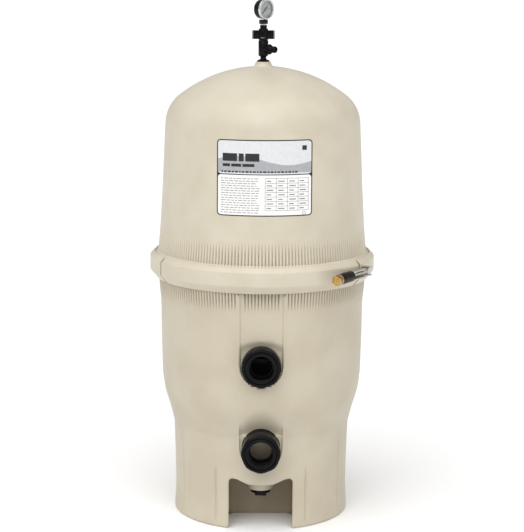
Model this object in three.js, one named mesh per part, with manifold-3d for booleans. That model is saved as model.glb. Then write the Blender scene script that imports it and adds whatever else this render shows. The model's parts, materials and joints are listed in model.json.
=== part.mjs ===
// Vertical-grid diatomaceous-earth filter for a swimming pool: a two-part moulded tank held by a
// band clamp, with its filter grids, manifold, port unions, relief valve, gauge and drain plug.
// Millimetres, +Z up. The origin is on the floor under the tank's axis, and -Y is the ports' side.
// A "reach" is a distance from the tank's axis towards the front or out along a fitting's own axis.
import * as THREE from "three";
import { mergeVertices } from "three/addons/utils/BufferGeometryUtils.js";
import Module from "manifold-3d";

const wasm = await Module();
wasm.setup();

// ---------------------------------------------------------------- clearances and facets
const fitGap = 0.3; // between pieces that touch
const threadGap = 0.5; // radial, between a thread and what screws on it
const tankSides = 36; // flats round the tank's circles
const fittingSides = 20; // flats round the fittings' circles
const smallSides = 10; // flats round small rods and pins

// ---------------------------------------------------------------- tank
const wall = 8; // thickness of both tank halves
const partingHeight = 653.5; // plane where the halves meet
const bowlTop = 351; // height where the lower wall turns into the bowl
const bowlDepth = 280; // from there to the bowl's lowest point
const bowlDropPower = 1.25; // how early the bowl turns in
const bowlRoundPower = 3.23; // how flat its bottom is
const lowerRadius = 256; // lower tank, at the bowl's top
const lowerFlareRadius = 260.6; // lower tank, where it starts to flare
const lowerFlareHeight = 94; // of the flare under the parting plane
const neckRadius = 267; // both halves, just behind the clamp's lips
const lidFlareRadius = 258; // lid, where its flare ends
const lidFlareHeight = 146; // of the flare over the parting plane
const shoulderRadius = 248.4; // lid, where the dome starts
const shoulderHeight = 1006;
const domeRise = 147; // from the shoulder to the crown
const knuckleRadius = 94; // of the arc between wall and crown
const topBossRadius = 20;
const topBossFoot = 27; // radius of the boss where it meets the crown
const topBossRise = 11; // over the crown
const flangeRadius = 280; // of both clamped flanges
const flangeRim = 18.6; // thickness of each flange at its edge
const sealThickness = 4.6;
const sealInset = 3; // from the halves' mouth to the middle of the seal's ring
const sealRadius = neckRadius - wall + sealInset;
const centreBossRadius = 14; // inside the bowl, holds the tie rod
const centreBossHeight = 24;

// ---------------------------------------------------------------- clamp band
const bandThickness = 4;
const bandClearance = 4; // between the flanges' rims and the band
const bandSlopeGap = 0.5; // between the flanges' slopes and the band's lips
const bandRadius = flangeRadius + bandClearance + bandThickness; // outside of its flat face
const bandFace = flangeRim - bandClearance + bandThickness * (Math.SQRT2 - 1)
  + bandSlopeGap * Math.SQRT2; // half the flat face's height
const bandLip = 16; // how far each lip slopes in and away from the face
const bandEndGap = 9; // between the ends of two segments, along the tank's circle
const boltJointAngle = 58; // from the front, towards +X
const linkJointAngles = [-62, 178];
const linkRadius = 3.9; // outside of a link's knuckles
const linkProud = 0.8; // how far a link's knuckles stand out of the band
const linkReach = bandRadius - linkRadius + linkProud; // of a link pin from the tank's axis
const linkTongue = 6; // from a knuckle into its segment
const linkPinProud = 1; // of a pin's ends over the knuckles
const linkPinRadius = 1.9;
const linkHeight = 30; // of the three knuckles together

// ---------------------------------------------------------------- clamp bolt, along the band's tangent
const boltRadius = 4;
const boltSetBack = 5; // of the bolt's end inside the nut
const barrelRadius = 13.5;
const barrelClearance = 1.5; // between the band and the spring's barrel
const boltReach = bandRadius + barrelRadius + barrelClearance; // of the bolt's axis
const saddleStart = 7; // from the joint to the nearer edge of a saddle
const saddleHalfHeight = 11; // to the outside of its ears
const saddlePlate = 3;
const trunnionWall = 2.5; // round the bolt's hole
const trunnionRadius = boltRadius + threadGap + trunnionWall;
const trunnionEdge = 2.5; // of the right saddle between its edge and the bolt's T
const frontSaddleExtra = 46.5; // how much longer the front saddle is
const headOffset = saddleStart + trunnionRadius + trunnionEdge; // from the joint to the T's axis
const swivelOffset = headOffset + frontSaddleExtra; // from the joint to the swivel block's axis
const journalRadius = 5;
const barrelLength = 59;
const barrelWall = 2.5;
const springThickness = 2.6;
const clampWasherThickness = 3;
const clampNutFlats = 22;
const clampNutHeight = 12;

// ---------------------------------------------------------------- base skirt and drain
const skirtTop = 240;
const skirtWall = 5;
const skirtInset = 1; // of the skirt's top inside the bowl's skin
const skirtDraft = 4; // how much narrower the skirt is at its waist than at its top
const footHeight = 14; // of the bead round the skirt's bottom edge
const footBead = 3; // how far the bead stands out
const pocketHalfWidth = 82;
const pocketBackReach = 85; // of the pocket's back wall from the tank's axis
const pocketCornerRadius = 20;
const openingTop = 131; // at the corners of the pocket's mouth
const openingCorner = 11;
const lobeBottom = 116; // lowest point of the lip over the drain
const lobeHalfWidth = 32;
const lobeRise = 1.5; // of that lip from its middle to its sides
const drainReach = 125; // of the drain's axis from the tank's axis
const drainBossRadius = 32;
const drainBossBottom = 82;
const drainBossHeight = 45; // its top is inside the bowl's wall
const drainBoreRadius = 20;
const drainFlangeRadius = 25.5;
const drainFlangeThickness = 6;
const drainHeadFlats = 29;
const drainHeadHeight = 12;
const drainSealThickness = 2.6;
const drainShankLength = 20;

// ---------------------------------------------------------------- ports
const outletHeight = 433;
const inletHeight = 215.6;
const outletSeatReach = 245; // of the flat that the outlet's gasket seats on
const inletSeatReach = 218;
const portPocketRise = 52; // straight part of the recess over the port's axis
const portPocketSlope = 62; // height over which the recess runs out
const portSkinReach = 262; // where it runs out, just in front of the tank's skin
const channelReach = 254.4; // of the flat over the outlet, from the tank's axis
const channelEndGap = 10; // between that flat's top and the flange's slope
const portFaceReach = 285; // front faces of both union nuts
const pipeRadius = 30.15; // outside of the pipe that a socket takes
const pipeWall = 3.65;
const pipeBore = pipeRadius - pipeWall;
const socketDepth = 36;
const tailFaceWall = 9.85; // of the socket at the tailpiece's face
const tailFaceRadius = pipeRadius + tailFaceWall;
const tailSleeveWall = 5.35; // of the socket inside the bulkhead
const tailSleeveRadius = pipeRadius + tailSleeveWall;
const tailSleeveEnd = 5; // of the sleeve behind the socket's ledge
const spigotWall = 7; // between a bulkhead's counterbore and its outside thread
const spigotRadius = tailSleeveRadius + threadGap + spigotWall;
const tailFlange = 4.7; // thickness of the tailpiece's flange
const unionSealThickness = 2.2;
const nutWall = 6.5; // outside the thread
const nutRadius = spigotRadius + nutWall;
const pocketRoom = 4; // between a union nut and the recess round it
const portPocketRadius = nutRadius + pocketRoom;
const nutLip = 6.5; // thickness of the nut's front lip
const nutLength = 31;
const nutChamfer = 2;
const tailSetBack = 1; // of the tailpiece's face behind the nut's
const bulkheadFlangeInset = 1; // of the flange's edge inside the nut's
const bulkheadFlangeRadius = nutRadius - bulkheadFlangeInset;
const bulkheadFlangeThickness = 5.4;
const bulkheadBarrelWall = 2; // outside the counterbore
const bulkheadBarrelRadius = tailSleeveRadius + threadGap + bulkheadBarrelWall; // through the wall
const bulkheadBackStep = 4; // from the barrel's thread to the spigot behind the locknut
const bulkheadBackRadius = bulkheadBarrelRadius - bulkheadBackStep;
const bulkheadBackWall = 5;
const bulkheadBackBore = bulkheadBackRadius - bulkheadBackWall;
const bulkheadBackLength = 14;
const bulkheadBackGap = 2; // between the barrel and what plugs on its back
const gasketThickness = 2;
const gasketInset = 1; // of the gasket's edge inside the flange's
const bulkheadHubInset = 1; // of the hub's front edge inside the flange's
const locknutWall = 12;
const locknutRadius = bulkheadBarrelRadius + locknutWall;
const locknutLength = 11;
const ports = [
  { name: "outlet", height: outletHeight, seatReach: outletSeatReach },
  { name: "inlet", height: inletHeight, seatReach: inletSeatReach },
];

// ---------------------------------------------------------------- relief valve and gauge, on the axis
const valveBossGap = 0.4; // under the valve's disc
const valveSealGap = 0.05; // over and under the flat seal in that gap
const valveSpigotRadius = 7.5;
const valveSpigotLength = 22;
const valveDiscRadius = 16;
const valveDiscThickness = 3;
const valveDiscCone = 1; // rise of the disc's top towards the neck
const valveNeckHeight = 10;
const valveBodyRadius = 12.5;
const valveBodyHeight = 40;
const valveStemRadius = 7;
const valveBore = 3;
const handleHeight = 29;
const handleSpan = 58;
const handleHubRadius = 12;
const handleWingThickness = 9;
const handleWingFoot = 3; // of the wings over the hub's bottom
const handleWingDrop = 4; // of the wings under the hub's top
const nozzleAngle = 50; // from the front, towards +X
const nozzleRise = 18; // of the nozzle's axis over the body's foot
const nozzleReach = 42;
const nozzleRadius = 8.5;
const nozzleFlangeRadius = 13;
const nozzleFlangeStart = 18;
const nozzleFlangeThickness = 4;
const nozzleChamfer = 3;
const adapterRadius = 10;
const adapterHeight = 11;
const gaugeAngle = 44; // the dial's heading from the front, towards +X
const gaugeRadius = 25.8;
const gaugeDepth = 25;
const gaugeWall = 1.6;
const gaugeStemWidth = 16.5;
const gaugeStemHeight = 11;
const gaugeNeckRadius = 3.2;
const gaugeNeckLength = 9;
const gaugeBore = 1.5;
const bezelDepth = 6;
const bezelRound = 1.5; // of the bezel's two outer edges
const bezelLip = 1.2; // how far the bezel reaches in over the lens
const bezelLipThickness = 1;
const dialSetBack = 2; // of the dial behind the case's edge
const pointerLift = 1.2; // of the pointer over the dial
const lensThickness = 1.5;
const dialThickness = 0.8;
const pointerLength = 19;
const pointerTail = 8;
const pointerThickness = 0.8;
const pointerTailHalf = 2.2; // half widths of the pointer, from its tail to its tip
const pointerRootHalf = 1.6;
const pointerTipHalf = 0.3;
const pointerBossRadius = 3;
const pointerRestAngle = 225; // of the tip, anticlockwise from the dial's right

// ---------------------------------------------------------------- filter grids and manifold
const gridCount = 8;
const gridTop = 1008;
const gridThickness = 14;
const gridInnerReach = 52;
const gridEdgeGap = 24; // between the grids' outer edges and the tank's wall
const gridPortGap = 10; // and between them and the outlet's recess
const gridSweep = 170; // degrees that a grid winds through
const gridSteps = 11;
const riserGap = 6; // between the riser and the grids beside it
const nippleRadius = 7;
const nippleReach = 118;
const nippleHeight = 10;
const manifoldGap = 3; // between the grids' tops and the manifold
const manifoldHeight = 28;
const manifoldWall = 4;
const tieRodRadius = 5;
const tieRodAbove = 34; // rod over the manifold
const retainingWasherRadius = 22;
const retainingWasherThickness = 3;
const retainingNutFlats = 24;
const retainingNutHeight = 12;
const spacerThickness = 8;
const spacerGap = 4; // between the inlet's diffuser and the spacer over it
const spacerRadius = 150;
const spacerHoleRadius = 28;
const bleedTubeRadius = 4;
const bleedTubeReach = 70;
const strainerRadius = 10;
const strainerHeight = 22;
const domeClearance = 12; // between the air strainer and the lid
const diffuserRadius = 62;
const diffuserSkirt = 8; // of the diffuser below its inlet stub
const diffuserGap = 4; // between the diffuser and the bowl

// ---------------------------------------------------------------- label
const labelThickness = 0.6;
const labelOffset = 5; // of its centre from the tank's middle, towards +X
const labelHalfWidth = 116;
const labelBottom = 806;
const labelTop = 991;
const labelCorner = 9;

// ---------------------------------------------------------------- finishes: colour, roughness, metalness
const finishes = {
  lidPlastic: ["#dfd6c6", 0.42, 0],
  tankPlastic: ["#cfc6b4", 0.42, 0],
  blackPlastic: ["#151417", 0.35, 0],
  greyPlastic: ["#b9b6ae", 0.5, 0],
  whitePlastic: ["#e6e6e2", 0.45, 0],
  rubber: ["#1d1d1e", 0.8, 0],
  brass: ["#b58c46", 0.35, 1],
  steel: ["#b8b8b4", 0.35, 1],
  darkSteel: ["#4c453c", 0.5, 1],
  chrome: ["#d7d7d9", 0.15, 1],
  clearPlastic: ["#e9eef0", 0.1, 0],
  gridCloth: ["#e9e7dd", 0.9, 0],
  labelFilm: ["#d9dad8", 0.4, 0],
};

const filter = new THREE.Group();

// Adds one named mesh, with a material of its own, to a group.
function addPiece(name, geometry, finish, group = filter) {
  const [color, roughness, metalness] = finishes[finish];
  const material = new THREE.MeshStandardMaterial({ color, roughness, metalness });
  const mesh = new THREE.Mesh(geometry, material);
  mesh.name = name;
  group.add(mesh);
}

// ================================================================ shape helpers

// A geometry as a solid that can be joined and cut.
function solid(geometry) {
  const bare = (geometry.index ? geometry.toNonIndexed() : geometry.clone());
  bare.deleteAttribute("normal");
  bare.deleteAttribute("uv");
  const merged = mergeVertices(bare, 1e-4);
  return new wasm.Manifold(new wasm.Mesh({
    numProp: 3,
    vertProperties: merged.attributes.position.array,
    triVerts: new Uint32Array(merged.index.array),
  }));
}

// A solid back as a geometry.
function geometryOf(made) {
  const mesh = made.getMesh();
  return new THREE.BufferGeometry()
    .setAttribute("position", new THREE.BufferAttribute(mesh.vertProperties, 3))
    .setIndex(new THREE.BufferAttribute(mesh.triVerts, 1));
}

function signedArea(outline) {
  return outline.reduce((sum, [x, y], i) => {
    const [nextX, nextY] = outline[(i + 1) % outline.length];
    return sum + (x * nextY - nextX * y) / 2;
  }, 0);
}

// A shape turned round Z from an outline of [radius, height], closed on itself or along the axis.
function turned(outline, sides = fittingSides) {
  const points = signedArea(outline) > 0 ? [...outline] : [...outline].reverse();
  const onAxis = points.filter(([radius]) => radius === 0).length;
  if (onAxis) {
    while (points[0][0] !== 0 || points[points.length - 1][0] !== 0) points.push(points.shift());
  } else {
    points.push(points[0]);
  }
  const profile = points.map(([radius, height]) => new THREE.Vector2(radius, height));
  return new THREE.LatheGeometry(profile, sides).rotateX(Math.PI / 2);
}

// Radius of a faceted bore that stays clear of a round shaft, or of a faceted one that turns in it.
function turningBore(shaftRadius, sides = fittingSides, gap = threadGap) {
  return (shaftRadius + gap) / Math.cos(Math.PI / sides);
}

// A plain disc or rod, or a ring when it has a bore, from one height to another.
function rod(radius, from, to, bore = 0, sides = fittingSides) {
  return turned([[bore, from], [radius, from], [radius, to], [bore, to]], sides);
}

// A round-section ring, such as a seal.
function sealRing(radius, height, thickness, sides) {
  const section = Array.from({ length: 6 }, (_, i) => {
    const turn = (i / 6) * 2 * Math.PI;
    return [radius + (thickness / 2) * Math.cos(turn), height + (thickness / 2) * Math.sin(turn)];
  });
  return turned(section, sides);
}

// A flat outline raised along Z. Points are [x, y], and holes are outlines.
function raised(outline, from, to, holes = []) {
  const shape = new THREE.Shape(outline.map(([x, y]) => new THREE.Vector2(x, y)));
  holes.forEach((hole) => shape.holes.push(new THREE.Path(hole.map(([x, y]) => new THREE.Vector2(x, y)))));
  return new THREE.ExtrudeGeometry(shape, { depth: to - from, bevelEnabled: false })
    .translate(0, 0, from);
}

function circleOutline(x, y, radius, sides) {
  return Array.from({ length: sides }, (_, i) => {
    const turn = (i / sides) * 2 * Math.PI;
    return [x + radius * Math.cos(turn), y + radius * Math.sin(turn)];
  });
}

// A rectangle with round corners, of the given steps to a corner.
function roundedOutline(left, right, bottom, top, corner, steps = 4) {
  const centres = [[right - corner, top - corner], [left + corner, top - corner],
    [left + corner, bottom + corner], [right - corner, bottom + corner]];
  return centres.flatMap(([x, y], quarter) => Array.from({ length: steps + 1 }, (_, i) => {
    const turn = (quarter + i / steps) * Math.PI / 2;
    return [x + corner * Math.cos(turn), y + corner * Math.sin(turn)];
  }));
}

// A hexagonal prism with a round bore, along Z. The flats are the distance across.
function hexagon(flats, from, to, bore = 0) {
  const outline = circleOutline(0, 0, flats / Math.sqrt(3), 6);
  const holes = bore ? [circleOutline(0, 0, bore, smallSides)] : [];
  return raised(outline, from, to, holes);
}

// A group whose own Z points out of the tank at an angle from the front, with its own Y up.
function outward(angle, height = 0) {
  const heading = new THREE.Group();
  heading.rotation.z = THREE.MathUtils.degToRad(angle);
  const tipped = new THREE.Group();
  tipped.rotation.x = Math.PI / 2;
  tipped.position.z = height;
  heading.add(tipped);
  filter.add(heading);
  return tipped;
}

// The same placing as outward, for a geometry that a solid at the origin is cut or joined with.
function turnOutward(geometry, angle, height = 0) {
  return geometry
    .rotateX(Math.PI / 2)
    .translate(0, 0, height)
    .rotateZ(THREE.MathUtils.degToRad(angle));
}

// ================================================================ tank outlines

// Points down one side of the bowl, from its top to its lowest point, a given depth inside the skin.
function bowlSide(inset, steps = 8) {
  return Array.from({ length: steps + 1 }, (_, i) => {
    const radiusShare = Math.cos((i / steps) * Math.PI / 2);
    const share = i === steps ? 0 : radiusShare;
    const drop = (1 - share ** bowlRoundPower) ** (1 / bowlDropPower);
    return [(lowerRadius - inset) * share, bowlTop - (bowlDepth - inset) * drop];
  });
}

// The bowl's radius at a height, a given depth inside the skin.
function bowlRadiusAt(height, inset = 0) {
  const drop = (bowlTop - height) / (bowlDepth - inset);
  return (lowerRadius - inset) * (1 - drop ** bowlDropPower) ** (1 / bowlRoundPower);
}

// Points up the lower wall, from the bowl's top to the flange.
function lowerWall(inset) {
  return [
    [lowerFlareRadius - inset, partingHeight - lowerFlareHeight],
    [neckRadius - inset, partingHeight - flangeRim - (flangeRadius - neckRadius)],
  ];
}

const crownRadius = (domeRise ** 2 + (shoulderRadius - knuckleRadius) ** 2 - knuckleRadius ** 2)
  / (2 * (domeRise - knuckleRadius));
const crownTop = shoulderHeight + domeRise;
const crownCentre = crownTop - crownRadius;

// Height of the lid's skin, or of a surface a given depth inside it, over a radius of the crown.
function crownHeight(radius, inset = 0) {
  return crownCentre + Math.sqrt((crownRadius - inset) ** 2 - radius ** 2);
}

// Points up the lid's dome, from the shoulder to a radius near the axis.
function domeSide(inset, endRadius) {
  const centreRadius = shoulderRadius - knuckleRadius;
  const meeting = Math.atan2(shoulderHeight - crownCentre, centreRadius);
  const knuckle = Array.from({ length: 5 }, (_, i) => {
    const turn = (i / 4) * meeting;
    const reach = knuckleRadius - inset;
    return [centreRadius + reach * Math.cos(turn), shoulderHeight + reach * Math.sin(turn)];
  });
  const crownStart = Math.PI / 2 - meeting;
  const crownEnd = Math.asin(endRadius / (crownRadius - inset));
  const crown = Array.from({ length: 4 }, (_, i) => {
    const turn = crownStart + ((i + 1) / 4) * (crownEnd - crownStart);
    const reach = crownRadius - inset;
    return [reach * Math.sin(turn), crownCentre + reach * Math.cos(turn)];
  });
  return [...knuckle, ...crown];
}

// Points up the lid's wall, from the flange to the shoulder.
function lidWall(inset) {
  return [
    [neckRadius - inset, partingHeight + flangeRim + (flangeRadius - neckRadius)],
    [lidFlareRadius - inset, partingHeight + lidFlareHeight],
  ];
}

// The space inside the lower tank, used to keep joined walls out of it.
function lowerSpace(inset) {
  const side = [...bowlSide(inset).reverse(), ...lowerWall(inset)];
  const mouth = neckRadius - inset;
  return turned([...side, [mouth, partingHeight], [0, partingHeight]], tankSides);
}

// ================================================================ lower tank

const mouthRadius = neckRadius - wall; // opening of both halves
const halfGap = fitGap / 2; // each flange stands this far from the parting plane
const skirtTopRadius = bowlRadiusAt(skirtTop) - skirtInset;

function lowerShell() {
  const outside = [...bowlSide(0).reverse(), ...lowerWall(0)];
  const top = partingHeight - halfGap;
  const grooveInner = sealRadius - sealThickness / 2 - fitGap;
  const grooveOuter = sealRadius + sealThickness / 2 + fitGap;
  const grooveFloor = partingHeight - sealThickness - fitGap;
  const flange = [
    [flangeRadius, partingHeight - flangeRim],
    [flangeRadius, top],
    [grooveOuter, top],
    [grooveOuter, grooveFloor],
    [grooveInner, grooveFloor],
    [grooveInner, top],
    [mouthRadius, top],
  ];
  const inside = [...lowerWall(wall).reverse(), ...bowlSide(wall)];
  return solid(turned([...outside, ...flange, ...inside], tankSides));
}

function skirtRing() {
  const waist = skirtTopRadius - skirtDraft;
  return solid(turned([
    [skirtTopRadius - skirtWall, skirtTop],
    [waist - skirtWall, footHeight],
    [waist - skirtWall, 0],
    [waist + footBead, 0],
    [waist + footBead, footHeight - footBead],
    [waist, footHeight],
    [skirtTopRadius, skirtTop],
  ], tankSides));
}

// The mouth of the pocket in the skirt, seen from the front, with the lip over the drain.
function pocketMouth() {
  const half = pocketHalfWidth;
  const corner = Array.from({ length: 5 }, (_, i) => {
    const turn = (i / 4) * Math.PI / 2;
    return [half - openingCorner + openingCorner * Math.cos(turn),
      openingTop - openingCorner + openingCorner * Math.sin(turn)];
  });
  const right = [[half, -footHeight], ...corner, [lobeHalfWidth, lobeBottom + lobeRise],
    [0, lobeBottom]];
  const left = right.slice(0, -1).reverse().map(([x, z]) => [-x, z]);
  return raised([...right, ...left], pocketBackReach + pocketCornerRadius, bandRadius);
}

function pocketOutline(grow) {
  const half = pocketHalfWidth + grow;
  const back = -pocketBackReach + grow;
  return roundedOutline(-half, half, -bandRadius, back, pocketCornerRadius + grow);
}

function pocketWalls() {
  const walls = solid(raised(pocketOutline(skirtWall), 0, skirtTop))
    .subtract(solid(raised(pocketOutline(0), -1, skirtTop + 1)));
  const inside = skirtTopRadius - skirtWall / 2;
  const skirtSpace = solid(turned([[0, 0], [inside - skirtDraft, 0], [inside, skirtTop],
    [0, skirtTop]], tankSides));
  return walls.intersect(skirtSpace);
}

// A solid with the given outline of [reach, height] seen from the side, as wide as twice its half.
function sideOn(outline, half) {
  const toSide = new THREE.Matrix4().makeBasis(
    new THREE.Vector3(0, -1, 0), new THREE.Vector3(0, 0, 1), new THREE.Vector3(-1, 0, 0));
  return solid(raised(outline, -half, half).applyMatrix4(toSide));
}

// The recess round a port: a round seat, with a slope over it that runs out at the tank's wall.
function portRecess(height, seatReach) {
  const seat = solid(turnOutward(rod(portPocketRadius, seatReach, bandRadius), 0, height));
  const slope = sideOn([
    [seatReach, height],
    [bandRadius, height],
    [bandRadius, height + portPocketRise + portPocketSlope],
    [portSkinReach, height + portPocketRise + portPocketSlope],
    [seatReach, height + portPocketRise],
  ], portPocketRadius);
  return seat.add(slope);
}

// The wall round and behind that recess, kept inside the tank's skin except at the seat.
function portBacking(height, seatReach) {
  const radius = portPocketRadius + wall / 2;
  const floor = seatReach - wall;
  const top = height + portPocketRise + portPocketSlope;
  const seat = solid(turnOutward(rod(radius, floor, seatReach + 1), 0, height));
  const collar = solid(turnOutward(rod(radius, floor, bandRadius), 0, height));
  const slope = sideOn([
    [floor, height],
    [bandRadius, height],
    [bandRadius, top],
    [portSkinReach - wall, top],
    [floor, height + portPocketRise],
  ], radius);
  return collar.add(slope).intersect(solid(lowerSpace(wall / 2))).add(seat);
}

// The flat between the outlet's recess and the flange: what it cuts away, and the wall behind it.
function channel() {
  const top = partingHeight - flangeRim - (flangeRadius - neckRadius) - channelEndGap;
  const cut = sideOn([[channelReach, outletHeight], [bandRadius, outletHeight],
    [bandRadius, top], [channelReach, top]], portPocketRadius);
  const backing = sideOn([[channelReach - wall, outletHeight], [bandRadius, outletHeight],
    [bandRadius, top + wall / 2], [channelReach - wall, top + wall / 2]],
  portPocketRadius + wall / 2);
  return { cut, backing: backing.intersect(solid(lowerSpace(wall / 2))) };
}

// The places of a port's pieces behind its seat, as reaches from the tank's axis.
function portBackReaches(seatReach) {
  const wallBack = seatReach - wall;
  const barrelBack = wallBack - locknutLength - 2 * fitGap;
  return { wallBack, barrelBack, backEnd: barrelBack - bulkheadBackLength };
}

// The boss that stands out of the bowl under a port, down to where the bowl is in front of it.
function portBoss(height, seatReach) {
  const { backEnd } = portBackReaches(seatReach);
  return solid(turnOutward(rod(portPocketRadius + wall / 2, backEnd, seatReach), 0, height));
}

// The room inside that boss for the locknut and for the fitting on the bulkhead's back.
function portRoom(height, seatReach) {
  const { wallBack, barrelBack, backEnd } = portBackReaches(seatReach);
  const backRadius = bulkheadBackRadius + fitGap + manifoldWall + wall / 4;
  return solid(turnOutward(turned([
    [0, backEnd - 2 * wall],
    [backRadius, backEnd - 2 * wall],
    [backRadius, barrelBack - 1],
    [locknutRadius + 1, barrelBack - 1],
    [locknutRadius + 1, wallBack],
    [0, wallBack],
  ]), 0, height));
}

function lowerTank() {
  const floor = bowlTop - bowlDepth;
  const space = solid(lowerSpace(wall));
  const drainBoss = solid(rod(drainBossRadius, drainBossBottom, drainBossBottom + drainBossHeight)
    .translate(0, -drainReach, 0));
  const drainBore = solid(rod(drainBoreRadius, drainBossBottom - 1,
    drainBossBottom + drainBossHeight + 2 * wall)
    .translate(0, -drainReach, 0));
  const rodBoss = solid(rod(centreBossRadius, floor + wall / 2, floor + wall + centreBossHeight));
  const rodBore = solid(rod(tieRodRadius + threadGap, floor + wall + fitGap,
    floor + wall + centreBossHeight + 1, 0, smallSides));
  const bosses = ports.map(({ height, seatReach }) => portBoss(height, seatReach));
  const skirt = bosses.reduce((sum, boss) => sum.add(boss), skirtRing()
    .subtract(solid(turnOutward(pocketMouth(), 0)))
    .add(pocketWalls())
    .add(drainBoss))
    .subtract(space);
  const { cut, backing } = channel();
  let tank = lowerShell()
    .add(backing)
    .subtract(cut)
    .add(skirt)
    .add(rodBoss)
    .subtract(drainBore)
    .subtract(rodBore);
  ports.forEach(({ height, seatReach }) => {
    const bore = rod(bulkheadBarrelRadius + threadGap, seatReach - 3 * wall, seatReach + wall);
    tank = tank
      .add(portBacking(height, seatReach))
      .subtract(portRecess(height, seatReach))
      .subtract(portRoom(height, seatReach))
      .subtract(solid(turnOutward(bore, 0, height)));
  });
  return tank;
}

addPiece("lower_tank", geometryOf(lowerTank()), "tankPlastic");
addPiece("tank_o_ring", sealRing(sealRadius, partingHeight - halfGap - sealThickness / 2 - 0.1,
  sealThickness, tankSides), "rubber");

// ================================================================ lid and its label

function lidShell() {
  const bottom = partingHeight + halfGap;
  const bossTop = crownTop + topBossRise;
  const bore = valveSpigotRadius + threadGap;
  const flange = [[mouthRadius, bottom], [flangeRadius, bottom],
    [flangeRadius, partingHeight + flangeRim]];
  const boss = [[topBossRadius, bossTop - topBossRise / 2], [topBossRadius, bossTop], [bore, bossTop]];
  return turned([
    ...flange,
    ...lidWall(0),
    ...domeSide(0, topBossFoot),
    ...boss,
    [bore, crownHeight(bore, wall)],
    ...domeSide(wall, topBossRadius).reverse(),
    ...lidWall(wall).reverse(),
  ], tankSides);
}

// A thin sheet that follows the lid's skin, cut to the label's outline.
function label() {
  const skin = [...lidWall(-fitGap), [shoulderRadius + fitGap, shoulderHeight]];
  const face = [...lidWall(-fitGap - labelThickness),
    [shoulderRadius + fitGap + labelThickness, shoulderHeight]].reverse();
  const sheet = solid(turned([...skin, ...face], tankSides));
  const outline = raised(roundedOutline(labelOffset - labelHalfWidth, labelOffset + labelHalfWidth,
    labelBottom, labelTop, labelCorner), lidFlareRadius / 2, bandRadius);
  return sheet.intersect(solid(turnOutward(outline, 0)));
}

addPiece("lid", lidShell(), "lidPlastic");
addPiece("label_plate", geometryOf(label()), "labelFilm");

// ================================================================ clamp band

// The band's section, from outside lip to outside lip and back along the inside.
function bandSection() {
  const inset = bandThickness;
  const slope = inset * (Math.SQRT2 - 1);
  const lipTop = bandFace + bandLip;
  const upper = [
    [bandRadius, bandFace],
    [bandRadius - bandLip, lipTop],
    [bandRadius - bandLip - inset / Math.SQRT2, lipTop - inset / Math.SQRT2],
    [bandRadius - inset, bandFace - slope],
  ];
  const lower = [...upper].reverse().map(([radius, rise]) => [radius, -rise]);
  return [...upper, ...lower].map(([radius, rise]) => [radius, partingHeight + rise]);
}

// One segment of the band between two angles, with flat ends that leave half the gap at each.
function bandSegment(from, to) {
  const direction = (angle, reach) => {
    const turn = THREE.MathUtils.degToRad(angle);
    return [reach * Math.sin(turn), -reach * Math.cos(turn)];
  };
  const far = 2 * bandRadius;
  const middle = (from + to) / 2;
  const half = bandEndGap / 2;
  const apexReach = half / Math.sin(THREE.MathUtils.degToRad((to - from) / 2));
  const [apexX, apexY] = direction(middle, apexReach);
  const along = (angle) => direction(angle, far).map((value, i) => value + [apexX, apexY][i]);
  const wedge = raised([[apexX, apexY], along(from), direction(middle, 2 * far), along(to)],
    partingHeight - 2 * bandFace - bandLip, partingHeight + 2 * bandFace + bandLip);
  return solid(turned(bandSection(), tankSides)).intersect(solid(wedge));
}

// The knuckles on a segment's end: side 1 has the middle one, side -1 the top and bottom ones.
function linkKnuckles(angle, side) {
  const third = linkHeight / 3;
  const bands = side > 0 ? [[-third / 2, third / 2]] : [[-1.5 * third, -third / 2], [third / 2, 1.5 * third]];
  return bands.map(([low, high]) => {
    const from = partingHeight + low + fitGap / 2;
    const to = partingHeight + high - fitGap / 2;
    const barrel = solid(rod(linkRadius, from, to, 0, smallSides));
    const near = side * (linkRadius / 2);
    const far = side * (bandEndGap + linkRadius + linkTongue);
    const back = linkReach - (bandRadius - bandThickness);
    const front = linkReach - (bandRadius - fitGap);
    const tongue = solid(raised([[near, back], [far, back], [far, front], [near, front]], from, to));
    return barrel.add(tongue);
  }).reduce((sum, part) => sum.add(part))
    .subtract(solid(rod(linkPinRadius + fitGap / 2, partingHeight - linkHeight, partingHeight + linkHeight,
      0, smallSides)))
    .translate([0, -linkReach, 0])
    .rotate([0, 0, angle]);
}

// The room that a link's knuckles need in both segments' ends.
function linkRoom(angle) {
  return solid(rod(linkRadius + bandSlopeGap, partingHeight - linkHeight / 2 - fitGap,
    partingHeight + linkHeight / 2 + fitGap, 0, smallSides))
    .translate([0, -linkReach, 0])
    .rotate([0, 0, angle]);
}

const [leftLink, rearLink] = linkJointAngles;
const segments = [
  { name: "clamp_front_segment", from: leftLink, to: boltJointAngle, links: [[leftLink, 1]] },
  { name: "clamp_right_segment", from: boltJointAngle, to: rearLink, links: [[rearLink, -1]] },
  { name: "clamp_left_segment", from: rearLink, to: leftLink + 360,
    links: [[rearLink, 1], [leftLink, -1]] },
];
segments.forEach(({ name, from, to, links }) => {
  let segment = bandSegment(from, to);
  links.forEach(([angle, side]) => {
    segment = segment.subtract(linkRoom(angle)).add(linkKnuckles(angle, side));
  });
  addPiece(name, geometryOf(segment), "lidPlastic");
});
[["clamp_left_pin", leftLink], ["clamp_rear_pin", rearLink]].forEach(([name, angle]) => {
  const pin = rod(linkPinRadius, -linkHeight / 2 - linkPinProud, linkHeight / 2 + linkPinProud,
    0, smallSides)
    .rotateX(-Math.PI / 2)
    .translate(0, 0, linkReach);
  addPiece(name, pin, "steel", outward(angle, partingHeight));
});

// ================================================================ clamp bolt
// In this frame X runs along the band towards the right segment, and Z out from the tank.

const boltFrame = outward(boltJointAngle, partingHeight);

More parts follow.
